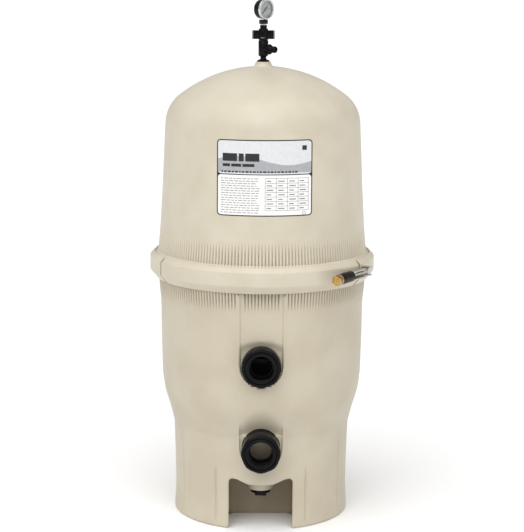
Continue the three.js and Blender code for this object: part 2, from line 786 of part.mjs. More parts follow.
// Turns a shape made along Z so that it runs along -X on the bolt's axis, away from the right segment.
function alongBolt(geometry) {
  return geometry.rotateY(-Math.PI / 2).translate(0, 0, boltReach);
}

// Turns a shape made along Z so that it stands on the trunnion at an X along the bolt.
function acrossBolt(geometry, x) {
  return geometry.rotateX(-Math.PI / 2).translate(x, 0, boltReach);
}

// A plate on the band with two ears that hold a trunnion's journals. Side -1 is the front segment's.
function saddle(side) {
  const offset = side > 0 ? headOffset : swivelOffset;
  const near = side * saddleStart;
  const far = side * (offset + trunnionRadius);
  const [low, high] = [Math.min(near, far), Math.max(near, far)];
  const sag = bandRadius - Math.sqrt(bandRadius ** 2 - far ** 2);
  const foot = bandRadius - sag + fitGap;
  const box = (halfHeight, from, to) => solid(raised([[low, -halfHeight], [high, -halfHeight],
    [high, halfHeight], [low, halfHeight]], from, to));
  const earTop = boltReach + journalRadius + saddlePlate;
  const skin = solid(rod(turningBore(bandRadius, tankSides * 2, fitGap), -saddleHalfHeight * 2,
    saddleHalfHeight * 2, 0, tankSides * 2)
    .rotateX(-Math.PI / 2));
  const innerHalf = saddleHalfHeight - saddlePlate;
  return box(saddleHalfHeight, foot, earTop)
    .subtract(box(innerHalf, bandRadius + saddlePlate, earTop + 1))
    .subtract(skin)
    .subtract(solid(acrossBolt(rod(journalRadius + fitGap, -saddleHalfHeight - 1,
      saddleHalfHeight + 1, 0, smallSides), side * offset)));
}

// A trunnion: a barrel between the ears, with a journal at each end.
function trunnion() {
  const inner = saddleHalfHeight - saddlePlate - fitGap;
  const outer = saddleHalfHeight + 1;
  return turned([[0, -outer], [journalRadius, -outer], [journalRadius, -inner],
    [trunnionRadius, -inner], [trunnionRadius, inner], [journalRadius, inner],
    [journalRadius, outer], [0, outer]], smallSides);
}

function swivelBlock() {
  const block = solid(acrossBolt(trunnion(), -swivelOffset));
  const bore = rod(boltRadius + threadGap, 0, swivelOffset + trunnionRadius + 1, 0, smallSides);
  return block.subtract(solid(alongBolt(bore)));
}

const barrelStart = swivelOffset + trunnionRadius + fitGap; // along the bolt from the joint
const barrelEnd = barrelStart + barrelLength;
const washerEnd = barrelEnd + fitGap + clampWasherThickness;
const clampNutEnd = washerEnd + fitGap + clampNutHeight;

function tBolt() {
  const head = solid(acrossBolt(trunnion(), headOffset));
  const shank = solid(alongBolt(rod(boltRadius, -headOffset, clampNutEnd - boltSetBack, 0,
    smallSides)));
  return head.add(shank);
}

function springBarrel() {
  const seat = boltRadius + threadGap;
  return turned([[seat, barrelStart], [barrelRadius, barrelStart], [barrelRadius, barrelEnd],
    [barrelRadius - barrelWall, barrelEnd], [barrelRadius - barrelWall, barrelStart + barrelWall],
    [seat, barrelStart + barrelWall]]);
}

// The spring, drawn as the sleeve that its close coils fill.
function clampSpring() {
  const outer = barrelRadius - barrelWall - fitGap;
  return rod(outer, barrelStart + barrelWall + fitGap, barrelEnd, outer - springThickness);
}

addPiece("clamp_front_saddle", geometryOf(saddle(-1)), "steel", boltFrame);
addPiece("clamp_right_saddle", geometryOf(saddle(1)), "steel", boltFrame);
addPiece("clamp_swivel_block", geometryOf(swivelBlock()), "steel", boltFrame);
addPiece("clamp_t_bolt", geometryOf(tBolt()), "steel", boltFrame);
addPiece("clamp_spring_barrel", alongBolt(springBarrel()), "darkSteel", boltFrame);
addPiece("clamp_spring", alongBolt(clampSpring()), "steel", boltFrame);
addPiece("clamp_washer", alongBolt(rod(barrelRadius, barrelEnd + fitGap, washerEnd,
  boltRadius + threadGap)), "steel", boltFrame);
addPiece("clamp_nut", alongBolt(hexagon(clampNutFlats, washerEnd + fitGap, clampNutEnd,
  turningBore(boltRadius, smallSides))), "brass", boltFrame);

// ================================================================ ports

// Every piece of a port, in a frame whose Z is the reach from the tank's axis.
function addPort({ name, height, seatReach }) {
  const frame = outward(0, height);
  const flangeBack = seatReach + gasketThickness + 2 * fitGap;
  const flangeFront = flangeBack + bulkheadFlangeThickness;
  const nutBack = portFaceReach - nutLength;
  const lipBack = portFaceReach - nutLip;
  const tailFlangeBack = lipBack - fitGap - tailFlange;
  const spigotFront = tailFlangeBack - unionSealThickness - 2 * fitGap;
  const { wallBack, barrelBack, backEnd } = portBackReaches(seatReach);
  const neckFront = Math.max(flangeFront, nutBack - fitGap);
  const tailFace = portFaceReach - tailSetBack;
  const tailBack = tailFace - socketDepth - tailSleeveEnd;
  const counterbore = tailSleeveRadius + threadGap;
  const nutBore = turningBore(spigotRadius);
  const nutMouth = turningBore(tailFaceRadius);
  const counterboreFloor = tailBack - fitGap;

  addPiece(`${name}_gasket`, rod(bulkheadFlangeRadius - gasketInset, seatReach + fitGap, flangeBack - fitGap,
    bulkheadBarrelRadius + threadGap), "rubber", frame);
  addPiece(`${name}_bulkhead`, turned([
    [bulkheadBackBore, backEnd],
    [bulkheadBackRadius, backEnd],
    [bulkheadBackRadius, barrelBack],
    [bulkheadBarrelRadius, barrelBack],
    [bulkheadBarrelRadius, flangeBack],
    [bulkheadFlangeRadius, flangeBack],
    [bulkheadFlangeRadius, flangeFront],
    [bulkheadFlangeRadius - bulkheadHubInset, neckFront],
    [spigotRadius, neckFront],
    [spigotRadius, spigotFront],
    [counterbore, spigotFront],
    [counterbore, counterboreFloor],
    [bulkheadBackBore, counterboreFloor],
  ]), "blackPlastic", frame);
  addPiece(`${name}_locknut`, rod(locknutRadius, barrelBack + fitGap, wallBack - fitGap,
    bulkheadBarrelRadius + threadGap), "blackPlastic", frame);
  addPiece(`${name}_union_o_ring`, sealRing((spigotRadius + counterbore) / 2,
    (spigotFront + tailFlangeBack) / 2, unionSealThickness, fittingSides), "rubber", frame);
  addPiece(`${name}_tailpiece`, turned([
    [pipeBore, tailBack],
    [tailSleeveRadius, tailBack],
    [tailSleeveRadius, tailFlangeBack],
    [spigotRadius, tailFlangeBack],
    [spigotRadius, tailFlangeBack + tailFlange],
    [tailFaceRadius, tailFlangeBack + tailFlange],
    [tailFaceRadius, tailFace],
    [pipeRadius, tailFace],
    [pipeRadius, tailFace - socketDepth],
    [pipeBore, tailFace - socketDepth],
  ]), "blackPlastic", frame);
  addPiece(`${name}_union_nut`, turned([
    [nutBore, nutBack],
    [nutRadius, nutBack],
    [nutRadius, portFaceReach - nutChamfer],
    [nutRadius - nutChamfer, portFaceReach],
    [nutMouth, portFaceReach],
    [nutMouth, lipBack],
    [nutBore, lipBack],
  ]), "blackPlastic", frame);
  return backEnd;
}

const [outletBack, inletBack] = ports.map(addPort);

// ================================================================ drain

const drainFrame = new THREE.Group();
drainFrame.position.set(0, -drainReach, drainBossBottom);
filter.add(drainFrame);

function drainPlug() {
  const flangeTop = -drainSealThickness - 2 * fitGap;
  const flangeBottom = flangeTop - drainFlangeThickness;
  const shank = drainBoreRadius - threadGap;
  const body = solid(turned([[0, flangeBottom], [drainFlangeRadius, flangeBottom],
    [drainFlangeRadius, flangeTop], [shank, flangeTop], [shank, drainShankLength],
    [0, drainShankLength]]));
  const headHalf = drainHeadFlats / 2;
  const head = solid(raised(roundedOutline(-headHalf, headHalf, -headHalf, headHalf, 3, 2),
    flangeBottom - drainHeadHeight, flangeBottom + 1));
  return body.add(head);
}

addPiece("drain_o_ring", rod(drainFlangeRadius - 0.5, -drainSealThickness - fitGap, -fitGap,
  drainBoreRadius + threadGap), "rubber", drainFrame);
addPiece("drain_plug", geometryOf(drainPlug()), "blackPlastic", drainFrame);

// ================================================================ relief valve and gauge

const bossTop = crownTop + topBossRise;
const discBottom = bossTop + valveBossGap;
const neckBottom = discBottom + valveDiscThickness;
const bodyBottom = neckBottom + valveNeckHeight;
const bodyTop = bodyBottom + valveBodyHeight;
const handleTop = bodyTop + fitGap + handleHeight;
const adapterTop = handleTop + fitGap + adapterHeight;
const nozzleHeight = bodyBottom + nozzleRise;
const stemTop = adapterTop + fitGap + gaugeStemHeight;
const gaugeHeight = stemTop + gaugeRadius + fitGap;

function valveBody() {
  const sealHeight = bossTop - valveSpigotLength;
  const body = solid(turned([
    [0, sealHeight],
    [valveSpigotRadius, sealHeight],
    [valveSpigotRadius, discBottom],
    [valveDiscRadius, discBottom],
    [valveDiscRadius, neckBottom],
    [valveSpigotRadius, neckBottom + valveDiscCone],
    [valveSpigotRadius, bodyBottom],
    [valveBodyRadius, bodyBottom],
    [valveBodyRadius, bodyTop],
    [valveStemRadius, bodyTop],
    [valveStemRadius, adapterTop - adapterHeight / 2],
    [0, adapterTop - adapterHeight / 2],
  ], fittingSides));
  const airWay = solid(rod(valveBore, sealHeight - 1, nozzleHeight + valveBore, 0, smallSides));
  const sideWay = solid(turnOutward(rod(valveBore, 0, valveBodyRadius + 1, 0, smallSides),
    nozzleAngle, nozzleHeight));
  return body.subtract(airWay).subtract(sideWay);
}

// The quarter-turn handle: a hub with two wings.
function valveHandle() {
  const bottom = bodyTop + fitGap;
  const half = handleSpan / 2;
  const thick = handleWingThickness / 2;
  const wings = solid(raised(roundedOutline(-half, half, -thick, thick, 3, 2),
    bottom + handleWingFoot, handleTop - handleWingDrop));
  const hub = solid(rod(handleHubRadius, bottom, handleTop));
  const bore = solid(rod(turningBore(valveStemRadius), bottom - 1, handleTop + 1));
  return wings.add(hub).subtract(bore);
}

// The nozzle's inner end is cut to the round of the valve's body.
function nozzle() {
  const flangeEnd = nozzleFlangeStart + nozzleFlangeThickness;
  const tube = solid(turnOutward(turned([
    [valveBore, 0],
    [nozzleRadius, 0],
    [nozzleRadius, nozzleFlangeStart],
    [nozzleFlangeRadius, nozzleFlangeStart],
    [nozzleFlangeRadius, flangeEnd],
    [nozzleRadius, flangeEnd],
    [nozzleRadius, nozzleReach - nozzleChamfer],
    [nozzleRadius - nozzleChamfer, nozzleReach],
    [valveBore, nozzleReach],
  ]), nozzleAngle, nozzleHeight));
  return tube.subtract(solid(rod(valveBodyRadius + fitGap, neckBottom, bodyTop)));
}

addPiece("relief_valve_body", geometryOf(valveBody()), "blackPlastic");
addPiece("relief_valve_handle", geometryOf(valveHandle()), "blackPlastic");
addPiece("relief_nozzle", geometryOf(nozzle()), "blackPlastic");
addPiece("relief_valve_o_ring", rod(valveDiscRadius - valveDiscThickness, bossTop + valveSealGap,
  discBottom - valveSealGap, valveSpigotRadius + threadGap), "rubber");

function adapter() {
  const bottom = handleTop + fitGap;
  const hex = solid(raised(circleOutline(0, 0, adapterRadius, 6), bottom, adapterTop));
  const socket = solid(rod(valveStemRadius + fitGap, bottom - 1, adapterTop - adapterHeight / 2 + fitGap));
  const airWay = solid(rod(valveBore, bottom, adapterTop + 1, 0, smallSides));
  return hex.subtract(socket).subtract(airWay);
}

const gaugeFrame = outward(gaugeAngle, gaugeHeight);

// The gauge's square stem, with a neck that goes up into the case.
function gaugeStem() {
  const half = gaugeStemWidth / 2;
  const bottom = -gaugeRadius - fitGap - gaugeStemHeight;
  const square = solid(raised(roundedOutline(-half, half, -half, half, 2, 2), bottom,
    -gaugeRadius - fitGap));
  const neck = solid(rod(gaugeNeckRadius, -gaugeRadius - 1, -gaugeRadius + gaugeNeckLength, 0,
    smallSides));
  const airWay = solid(rod(gaugeBore, bottom - 1, -gaugeRadius + gaugeNeckLength + 1, 0, smallSides));
  return geometryOf(square.add(neck).subtract(airWay)).rotateX(-Math.PI / 2);
}

const caseBack = -gaugeDepth / 2;
const caseFront = gaugeDepth / 2 - bezelDepth;
const caseOutside = gaugeRadius - gaugeWall;
const caseInside = caseOutside - gaugeWall;

function gaugeCase() {
  const cup = solid(turned([[0, caseBack], [caseOutside, caseBack], [caseOutside, caseFront],
    [caseInside, caseFront], [caseInside, caseBack + gaugeWall], [0, caseBack + gaugeWall]]));
  const stemHole = rod(gaugeNeckRadius + fitGap, -gaugeRadius - 1, -caseInside + 2, 0, smallSides)
    .rotateX(-Math.PI / 2);
  return cup.subtract(solid(stemHole));
}

function gaugeBezel() {
  const front = gaugeDepth / 2;
  return turned([[caseInside, caseFront + fitGap], [caseOutside, caseFront + fitGap],
    [gaugeRadius, caseFront + bezelRound], [gaugeRadius, front - bezelRound],
    [gaugeRadius - bezelRound, front], [caseInside - bezelLip, front],
    [caseInside - bezelLip, front - bezelLipThickness], [caseInside, front - bezelLipThickness]]);
}

const dialFront = caseFront - dialSetBack;
const pointerBack = dialFront + pointerLift;
const lensFront = gaugeDepth / 2 - bezelLipThickness - fitGap;

function pointer() {
  const side = [[-pointerTail, pointerTailHalf], [0, pointerRootHalf], [pointerLength, pointerTipHalf]];
  const blade = [...side, ...[...side].reverse().map(([x, y]) => [x, -y])].reverse();
  const turn = THREE.MathUtils.degToRad(pointerRestAngle);
  const needle = solid(raised(blade, pointerBack, pointerBack + pointerThickness));
  const boss = solid(rod(pointerBossRadius, pointerBack, pointerBack + 2 * pointerThickness, 0, smallSides));
  return geometryOf(needle.add(boss)).rotateZ(turn);
}

addPiece("gauge_adapter", geometryOf(adapter()), "blackPlastic");
addPiece("gauge_stem", gaugeStem(), "steel", gaugeFrame);
addPiece("gauge_case", geometryOf(gaugeCase()), "blackPlastic", gaugeFrame);
addPiece("gauge_bezel", gaugeBezel(), "chrome", gaugeFrame);
addPiece("gauge_dial", rod(caseInside - threadGap, dialFront - dialThickness, dialFront),
  "whitePlastic", gaugeFrame);
addPiece("gauge_pointer", pointer(), "blackPlastic", gaugeFrame);
addPiece("gauge_lens", rod(caseInside - threadGap, lensFront - lensThickness, lensFront),
  "clearPlastic", gaugeFrame);

// ================================================================ filter grids

const gridOuterReach = Math.min(shoulderRadius - wall - gridEdgeGap,
  outletSeatReach - wall - gridPortGap);
const elbowRadius = bulkheadBackRadius + fitGap + manifoldWall;
const spacerBottom = inletHeight + elbowRadius + spacerGap;
const gridBottom = spacerBottom + spacerThickness + fitGap;
const gridPitch = (gridOuterReach - gridInnerReach) / THREE.MathUtils.degToRad(gridSweep);
const riserReach = Math.min(gridOuterReach - pipeRadius - riserGap, outletBack - pipeRadius);
const partialReach = riserReach - pipeRadius - riserGap; // the nipples stay inside this
const nippleTurn = (Math.min(nippleReach, partialReach - gridThickness) - gridInnerReach) / gridPitch;
// The grid that the riser cuts short would pass through the riser's middle, at the front.
const firstTurn = -Math.PI / 2 - (riserReach - gridInnerReach) / gridPitch;
const manifoldBottom = gridTop + manifoldGap;
const manifoldTop = manifoldBottom + manifoldHeight;

// A point on a grid's middle line, or off it by a distance, after it has wound through a turn.
function gridPoint(startTurn, turn, offset) {
  const reach = gridInnerReach + gridPitch * turn;
  const heading = startTurn + turn;
  const along = new THREE.Vector2(
    gridPitch * Math.cos(heading) - reach * Math.sin(heading),
    gridPitch * Math.sin(heading) + reach * Math.cos(heading)).normalize();
  return [reach * Math.cos(heading) - along.y * offset, reach * Math.sin(heading) + along.x * offset];
}

// The grid beside the ports ends before it would meet them.
const portSideTurn = Math.asin((portPocketRadius + wall + gridThickness) / gridOuterReach);
const besidePortReach = riserReach + gridPitch * ((2 * Math.PI) / gridCount - portSideTurn);

// How far out a grid winds: to the outer reach, or until it comes too near the riser.
function gridEnd(startTurn) {
  const clear = elbowRadius + riserGap + gridThickness / 2;
  const sweep = (gridOuterReach - gridInnerReach) / gridPitch;
  const tests = gridSteps * gridSteps;
  const turns = Array.from({ length: tests }, (_, i) => (i / tests) * sweep);
  const near = turns.find((turn) => {
    const [x, y] = gridPoint(startTurn, turn, 0);
    return Math.hypot(x, y + riserReach) < clear;
  });
  return near === undefined ? gridOuterReach : gridInnerReach + gridPitch * near;
}

// One curved grid: a cloth-covered panel with a nipple on top that plugs into the manifold.
function grid(startTurn, endReach) {
  const sweep = (endReach - gridInnerReach) / gridPitch;
  const turns = Array.from({ length: gridSteps + 1 }, (_, i) => (i / gridSteps) * sweep);
  const half = gridThickness / 2;
  const outside = turns.map((turn) => gridPoint(startTurn, turn, -half));
  const inside = turns.map((turn) => gridPoint(startTurn, turn, half)).reverse();
  const panel = solid(raised([...outside, ...inside], gridBottom, gridTop));
  const [x, y] = gridPoint(startTurn, nippleTurn, 0);
  const nipple = solid(rod(nippleRadius, gridTop - 1, gridTop + nippleHeight, 0, smallSides)
    .translate(x, y, 0));
  return panel.add(nipple);
}

for (let i = 0; i < gridCount; i += 1) {
  const startTurn = firstTurn + (i / gridCount) * 2 * Math.PI;
  const besidePorts = i === gridCount - 1;
  const end = besidePorts ? Math.min(gridEnd(startTurn), besidePortReach) : gridEnd(startTurn);
  addPiece(`filter_grid_${i + 1}`, geometryOf(grid(startTurn, end)), "gridCloth");
}

// ================================================================ manifold, riser and tie rod

function manifold() {
  const radius = gridOuterReach;
  const bore = tieRodRadius + threadGap;
  const hub = bore + manifoldWall;
  const body = solid(rod(radius, manifoldBottom, manifoldTop));
  const space = solid(rod(radius - manifoldWall, manifoldBottom + manifoldWall,
    manifoldTop - manifoldWall, hub));
  let made = body.subtract(space).subtract(solid(rod(bore, manifoldBottom - 1, manifoldTop + 1, 0,
    smallSides)));
  for (let i = 0; i < gridCount; i += 1) {
    const [x, y] = gridPoint(firstTurn + (i / gridCount) * 2 * Math.PI, nippleTurn, 0);
    made = made.subtract(solid(rod(nippleRadius + fitGap, manifoldBottom - 1,
      manifoldBottom + manifoldWall + 1, 0, smallSides).translate(x, y, 0)));
  }
  const riserHole = rod(pipeRadius + fitGap, manifoldBottom - 1, manifoldBottom + manifoldWall + 1)
    .translate(0, -riserReach, 0);
  return made.subtract(solid(riserHole));
}

// The pipe from the outlet up to the manifold, with an elbow over the bulkhead's spigot.
function outletRiser() {
  const top = manifoldBottom + 2 * manifoldWall;
  const socketEnd = outletBack + bulkheadBackLength - bulkheadBackGap;
  const pipe = solid(rod(pipeRadius, outletHeight, top).translate(0, -riserReach, 0));
  const elbow = solid(turnOutward(rod(elbowRadius, riserReach - pipeRadius / 2, socketEnd), 0,
    outletHeight));
  const pipeSpace = solid(rod(pipeBore, outletHeight, top + 1).translate(0, -riserReach, 0));
  const elbowSpace = solid(turnOutward(rod(pipeBore, riserReach, socketEnd + 1), 0,
    outletHeight));
  const socket = solid(turnOutward(rod(bulkheadBackRadius + fitGap, outletBack - fitGap,
    socketEnd + 1), 0, outletHeight));
  return pipe.add(elbow).subtract(pipeSpace).subtract(elbowSpace).subtract(socket);
}

// The elbow that turns the incoming water down and spreads it under the grids.
function inletDiffuser() {
  const socketEnd = inletBack + bulkheadBackLength - bulkheadBackGap;
  const bottom = inletHeight - elbowRadius - diffuserSkirt;
  const reach = Math.min(inletBack, bowlRadiusAt(bottom, wall) - diffuserGap) - diffuserRadius;
  const top = inletHeight + elbowRadius;
  const chamber = solid(rod(diffuserRadius, bottom, top).translate(0, -reach, 0));
  const chamberSpace = solid(rod(diffuserRadius - manifoldWall, bottom - 1, top - manifoldWall)
    .translate(0, -reach, 0));
  const stub = solid(turnOutward(rod(elbowRadius, reach, socketEnd), 0, inletHeight));
  const stubSpace = solid(turnOutward(rod(bulkheadBackRadius + fitGap, reach, socketEnd + 1), 0,
    inletHeight));
  return chamber.add(stub).subtract(chamberSpace).subtract(stubSpace);
}

addPiece("grid_manifold", geometryOf(manifold()), "blackPlastic");
addPiece("outlet_riser", geometryOf(outletRiser()), "blackPlastic");
addPiece("inlet_diffuser", geometryOf(inletDiffuser()), "blackPlastic");

const spacerHoles = Array.from({ length: gridCount }, (_, i) => {
  const turn = (i / gridCount) * 2 * Math.PI;
  const reach = (spacerRadius + tieRodRadius) / 2 + spacerHoleRadius / 2;
  return circleOutline(reach * Math.cos(turn), reach * Math.sin(turn), spacerHoleRadius, smallSides);
});
addPiece("grid_spacer", raised(circleOutline(0, 0, spacerRadius, fittingSides), spacerBottom,
  spacerBottom + spacerThickness, [circleOutline(0, 0, tieRodRadius + threadGap, smallSides), ...spacerHoles]),
"blackPlastic");

const rodFoot = bowlTop - bowlDepth + wall + 2 * fitGap;
const rodTop = manifoldTop + tieRodAbove;
const retainerTop = manifoldTop + fitGap + retainingWasherThickness;
addPiece("tie_rod", rod(tieRodRadius, rodFoot, rodTop, 0, smallSides), "steel");
addPiece("tie_rod_washer", rod(retainingWasherRadius, manifoldTop + fitGap, retainerTop,
  tieRodRadius + threadGap), "steel");
addPiece("tie_rod_nut", hexagon(retainingNutFlats, retainerTop + fitGap,
  retainerTop + fitGap + retainingNutHeight, tieRodRadius + threadGap), "brass");

const strainerTop = crownHeight(bleedTubeReach + strainerRadius, wall) - domeClearance;
const strainerBottom = strainerTop - strainerHeight;
addPiece("air_strainer", rod(strainerRadius, strainerBottom, strainerTop)
  .translate(bleedTubeReach, 0, 0), "whitePlastic");
addPiece("air_bleed_tube", rod(bleedTubeRadius, manifoldTop + fitGap, strainerBottom - fitGap, 2,
  smallSides).translate(bleedTubeReach, 0, 0), "clearPlastic");

export default filter;
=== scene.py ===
import json
import math

import bmesh
import bpy
from mathutils import Matrix, Vector


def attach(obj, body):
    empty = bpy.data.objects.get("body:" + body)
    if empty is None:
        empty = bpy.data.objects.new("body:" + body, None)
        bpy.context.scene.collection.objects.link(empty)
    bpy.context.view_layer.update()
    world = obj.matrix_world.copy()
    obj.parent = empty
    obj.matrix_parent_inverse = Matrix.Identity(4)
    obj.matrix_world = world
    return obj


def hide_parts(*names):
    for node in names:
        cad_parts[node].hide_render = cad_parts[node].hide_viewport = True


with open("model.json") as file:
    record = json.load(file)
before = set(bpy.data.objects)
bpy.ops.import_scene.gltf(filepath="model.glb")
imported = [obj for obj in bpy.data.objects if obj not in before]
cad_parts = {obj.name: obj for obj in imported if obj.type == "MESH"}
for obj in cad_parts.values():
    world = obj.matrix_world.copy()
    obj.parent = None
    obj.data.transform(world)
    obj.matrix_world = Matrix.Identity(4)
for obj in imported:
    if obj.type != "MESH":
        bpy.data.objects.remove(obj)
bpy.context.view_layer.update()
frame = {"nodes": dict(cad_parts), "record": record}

mm = 0.001  # sizes below are in millimetres


# materials

def toLinear(hexColour):
    channels = [int(hexColour[i:i + 2], 16) / 255 for i in (1, 3, 5)]
    return [c / 12.92 if c <= 0.04045 else ((c + 0.055) / 1.055) ** 2.4 for c in channels] + [1.0]


def addNode(tree, kind, settings=None, values=None, links=None):
    node = tree.nodes.new(kind)
    for key, value in (settings or {}).items():
        setattr(node, key, value)
    for key, value in (values or {}).items():
        node.inputs[key].default_value = value
    for key, source in (links or {}).items():
        tree.links.new(source, node.inputs[key])
    return node


def makeMaterial(name, look):
    material = bpy.data.materials.new(name)
    material.use_nodes = True
    tree = material.node_tree
    tree.nodes.clear()
    place = addNode(tree, "ShaderNodeTexCoord")
    spot = addNode(tree, "ShaderNodeMapping", values={"Scale": look.get("stretch", (1, 1, 1))},
                   links={"Vector": place.outputs["Object"]})
    # slow change of colour over the piece
    cloud = addNode(tree, "ShaderNodeTexNoise", values={"Scale": 1 / (look["cloudSize"] * mm), "Detail": 4.0},
                    links={"Vector": spot.outputs[0]})
    cloudSpread = addNode(tree, "ShaderNodeMapRange", values={"From Min": 0.38, "From Max": 0.64},
                          links={"Value": cloud.outputs[0]})
    colour = addNode(tree, "ShaderNodeMix", {"data_type": "RGBA"},
                     {6: toLinear(look["colour"]), 7: toLinear(look["shade"])},
                     {0: cloudSpread.outputs[0]}).outputs[2]
    # fine grain, for bump and for the spread of roughness
    grain = addNode(tree, "ShaderNodeTexNoise", values={"Scale": 1 / (look["grainSize"] * mm), "Detail": 3.0},
                    links={"Vector": spot.outputs[0]})
    if "speck" in look:
        speckMask = addNode(tree, "ShaderNodeMapRange", values={"From Min": 0.62, "From Max": 0.74},
                            links={"Value": grain.outputs[0]})
        colour = addNode(tree, "ShaderNodeMix", {"data_type": "RGBA"}, {7: toLinear(look["speck"])},
                         {0: speckMask.outputs[0], 6: colour}).outputs[2]
    rough = addNode(tree, "ShaderNodeMapRange",
                    values={"From Min": 0.3, "From Max": 0.7,
                            "To Min": look["roughness"] - look["roughSpread"],
                            "To Max": look["roughness"] + look["roughSpread"]},
                    links={"Value": grain.outputs[0]})
    bump = addNode(tree, "ShaderNodeBump", values={"Strength": look.get("bumpStrength", 0.5),
                                                   "Distance": look["grainDepth"] * mm},
                   links={"Height": grain.outputs[0]})
    shader = addNode(tree, "ShaderNodeBsdfPrincipled", values=look.get("shader", {}),
                     links={"Base Color": colour, "Roughness": rough.outputs[0], "Normal": bump.outputs[0]})
    addNode(tree, "ShaderNodeOutputMaterial", links={"Surface": shader.outputs[0]})
    return material


looks = {
    # injection-moulded glass-filled polypropylene, lightly spark-eroded mould: satin, faint fibre mottle
    "lid_plastic": {"colour": "#CDC5B2", "shade": "#C7BEAA", "speck": "#C2B9A4", "cloudSize": 90,
                    "grainSize": 1.1, "grainDepth": 0.05, "roughness": 0.42, "roughSpread": 0.07,
                    "shader": {"IOR": 1.49}},
    # the lower tank's colour, a little darker than the lid's: partly its own tone, partly painted shade for
    # the lower tank standing in less light
    "tank_plastic": {"colour": "#C5BCA8", "shade": "#BEB49F", "speck": "#B9AF99", "cloudSize": 110,
                     "grainSize": 1.1, "grainDepth": 0.05, "roughness": 0.44, "roughSpread": 0.07,
                     "shader": {"IOR": 1.49}},
    # moulded black ABS, polished mould: near black with soft bluish highlights
    "black_plastic": {"colour": "#08080A", "shade": "#0E0D11", "cloudSize": 30, "grainSize": 0.9,
                      "grainDepth": 0.015, "roughness": 0.24, "roughSpread": 0.05,
                      "shader": {"IOR": 1.5, "Specular IOR Level": 0.13}},
    # moulded white PVC: clean, low gloss
    "white_plastic": {"colour": "#EDEBE4", "shade": "#E2DFD5", "cloudSize": 40, "grainSize": 1.0,
                      "grainDepth": 0.02, "roughness": 0.4, "roughSpread": 0.05, "shader": {"IOR": 1.53}},
    # moulded clear polycarbonate: a glossy pane that lets the dial through
    "clear_plastic": {"colour": "#F7F9FA", "shade": "#F3F6F8", "cloudSize": 40, "grainSize": 6.0,
                      "grainDepth": 0.002, "roughness": 0.07, "roughSpread": 0.03,
                      "shader": {"IOR": 1.585, "Transmission Weight": 1.0}},
    # moulded nitrile rubber: dull black with a dusty bloom
    "rubber": {"colour": "#1B1B1C", "shade": "#262627", "cloudSize": 12, "grainSize": 0.8,
               "grainDepth": 0.04, "roughness": 0.72, "roughSpread": 0.1, "shader": {"IOR": 1.52}},
    # turned brass: warm yellow metal with fine tool marks, a little dulled by air
    "brass": {"colour": "#C9A25B", "shade": "#A9813F", "cloudSize": 14, "grainSize": 0.6,
              "grainDepth": 0.02, "roughness": 0.3, "roughSpread": 0.1, "shader": {"Metallic": 1.0}},
    # stamped stainless steel, mill finish: pale grey with a fine drawn grain
    "steel": {"colour": "#C9C6C0", "shade": "#B4B0A9", "cloudSize": 20, "grainSize": 0.7,
              "grainDepth": 0.02, "roughness": 0.34, "roughSpread": 0.1, "stretch": (1, 1, 4),
              "shader": {"Metallic": 1.0}},
    # drawn steel cup, dark plated: grey-brown with soft reflections
    "dark_steel": {"colour": "#3E3832", "shade": "#2F2A25", "cloudSize": 18, "grainSize": 0.8,
                   "grainDepth": 0.02, "roughness": 0.36, "roughSpread": 0.08, "shader": {"Metallic": 1.0}},
    # spun and chromed brass ring: mirror-like with slight haze
    "chrome": {"colour": "#D9DBDC", "shade": "#CDCFD1", "cloudSize": 20, "grainSize": 0.8,
               "grainDepth": 0.004, "roughness": 0.14, "roughSpread": 0.05, "shader": {"Metallic": 1.0}},
    # woven polypropylene filter cloth: off-white, visible weave
    "grid_cloth": {"colour": "#E9E6DC", "shade": "#D9D4C6", "cloudSize": 30, "grainSize": 0.9,
                   "grainDepth": 0.2, "roughness": 0.8, "roughSpread": 0.08, "stretch": (1, 1, 2),
                   "shader": {"Sheen Weight": 0.2}},
    # printed vinyl film: smooth and pale with a slight gloss
    "label_film": {"colour": "#F1F0EE", "shade": "#ECEBE8", "cloudSize": 60, "grainSize": 1.2,
                   "grainDepth": 0.01, "roughness": 0.36, "roughSpread": 0.04, "shader": {"IOR": 1.5}},
}
materials = {name: makeMaterial(name, look) for name, look in looks.items()}


def inkMaterial(name, colour, shade):
    # screen-printed vinyl ink: flat colour, slightly duller than the film
    return makeMaterial(name, {"colour": colour, "shade": shade, "cloudSize": 8, "grainSize": 0.7,
                               "grainDepth": 0.008, "roughness": 0.42, "roughSpread": 0.05,
                               "shader": {"IOR": 1.5}})


blackInk = inkMaterial("blackInk", "#1A1A1C", "#222224")
greyInk = inkMaterial("greyInk", "#A9ABAE", "#A1A3A7")
paleInk = inkMaterial("paleInk", "#DADBDD", "#D4D5D8")
textInk = inkMaterial("textInk", "#77787C", "#808186")
# wound PTFE thread tape: dull white ribbon
threadTape = inkMaterial("threadTape", "#F4F3EF", "#E4E2DC")
# painted highlight: satin mid grey blocks at the handle's ends and a small ridge, standing in for glints on
# the black handle
handleHighlightGrey = inkMaterial("handleHighlightGrey", "#8D8E92", "#828388")

# the same polypropylene, made duller and rougher, with painted shade: coloured darker and browner for the
# shaded inside of the pocket
pocketPaintedShade = makeMaterial("pocketPaintedShade", {
    **looks["tank_plastic"], "colour": "#A0947F", "shade": "#978A75", "speck": "#8E816C", "roughness": 0.6})

print("materials made")


# shape helpers

def outwardPlace(angle, height):
    # Z points out of the tank at an angle from the front, Y up
    return (Matrix.Rotation(math.radians(angle), 4, "Z") @ Matrix.Translation((0, 0, height * mm))
            @ Matrix.Rotation(math.radians(90), 4, "X"))


def smoothStep(low, high, value):
    t = min(1.0, max(0.0, (value - low) / (high - low)))
    return t * t * (3 - 2 * t)


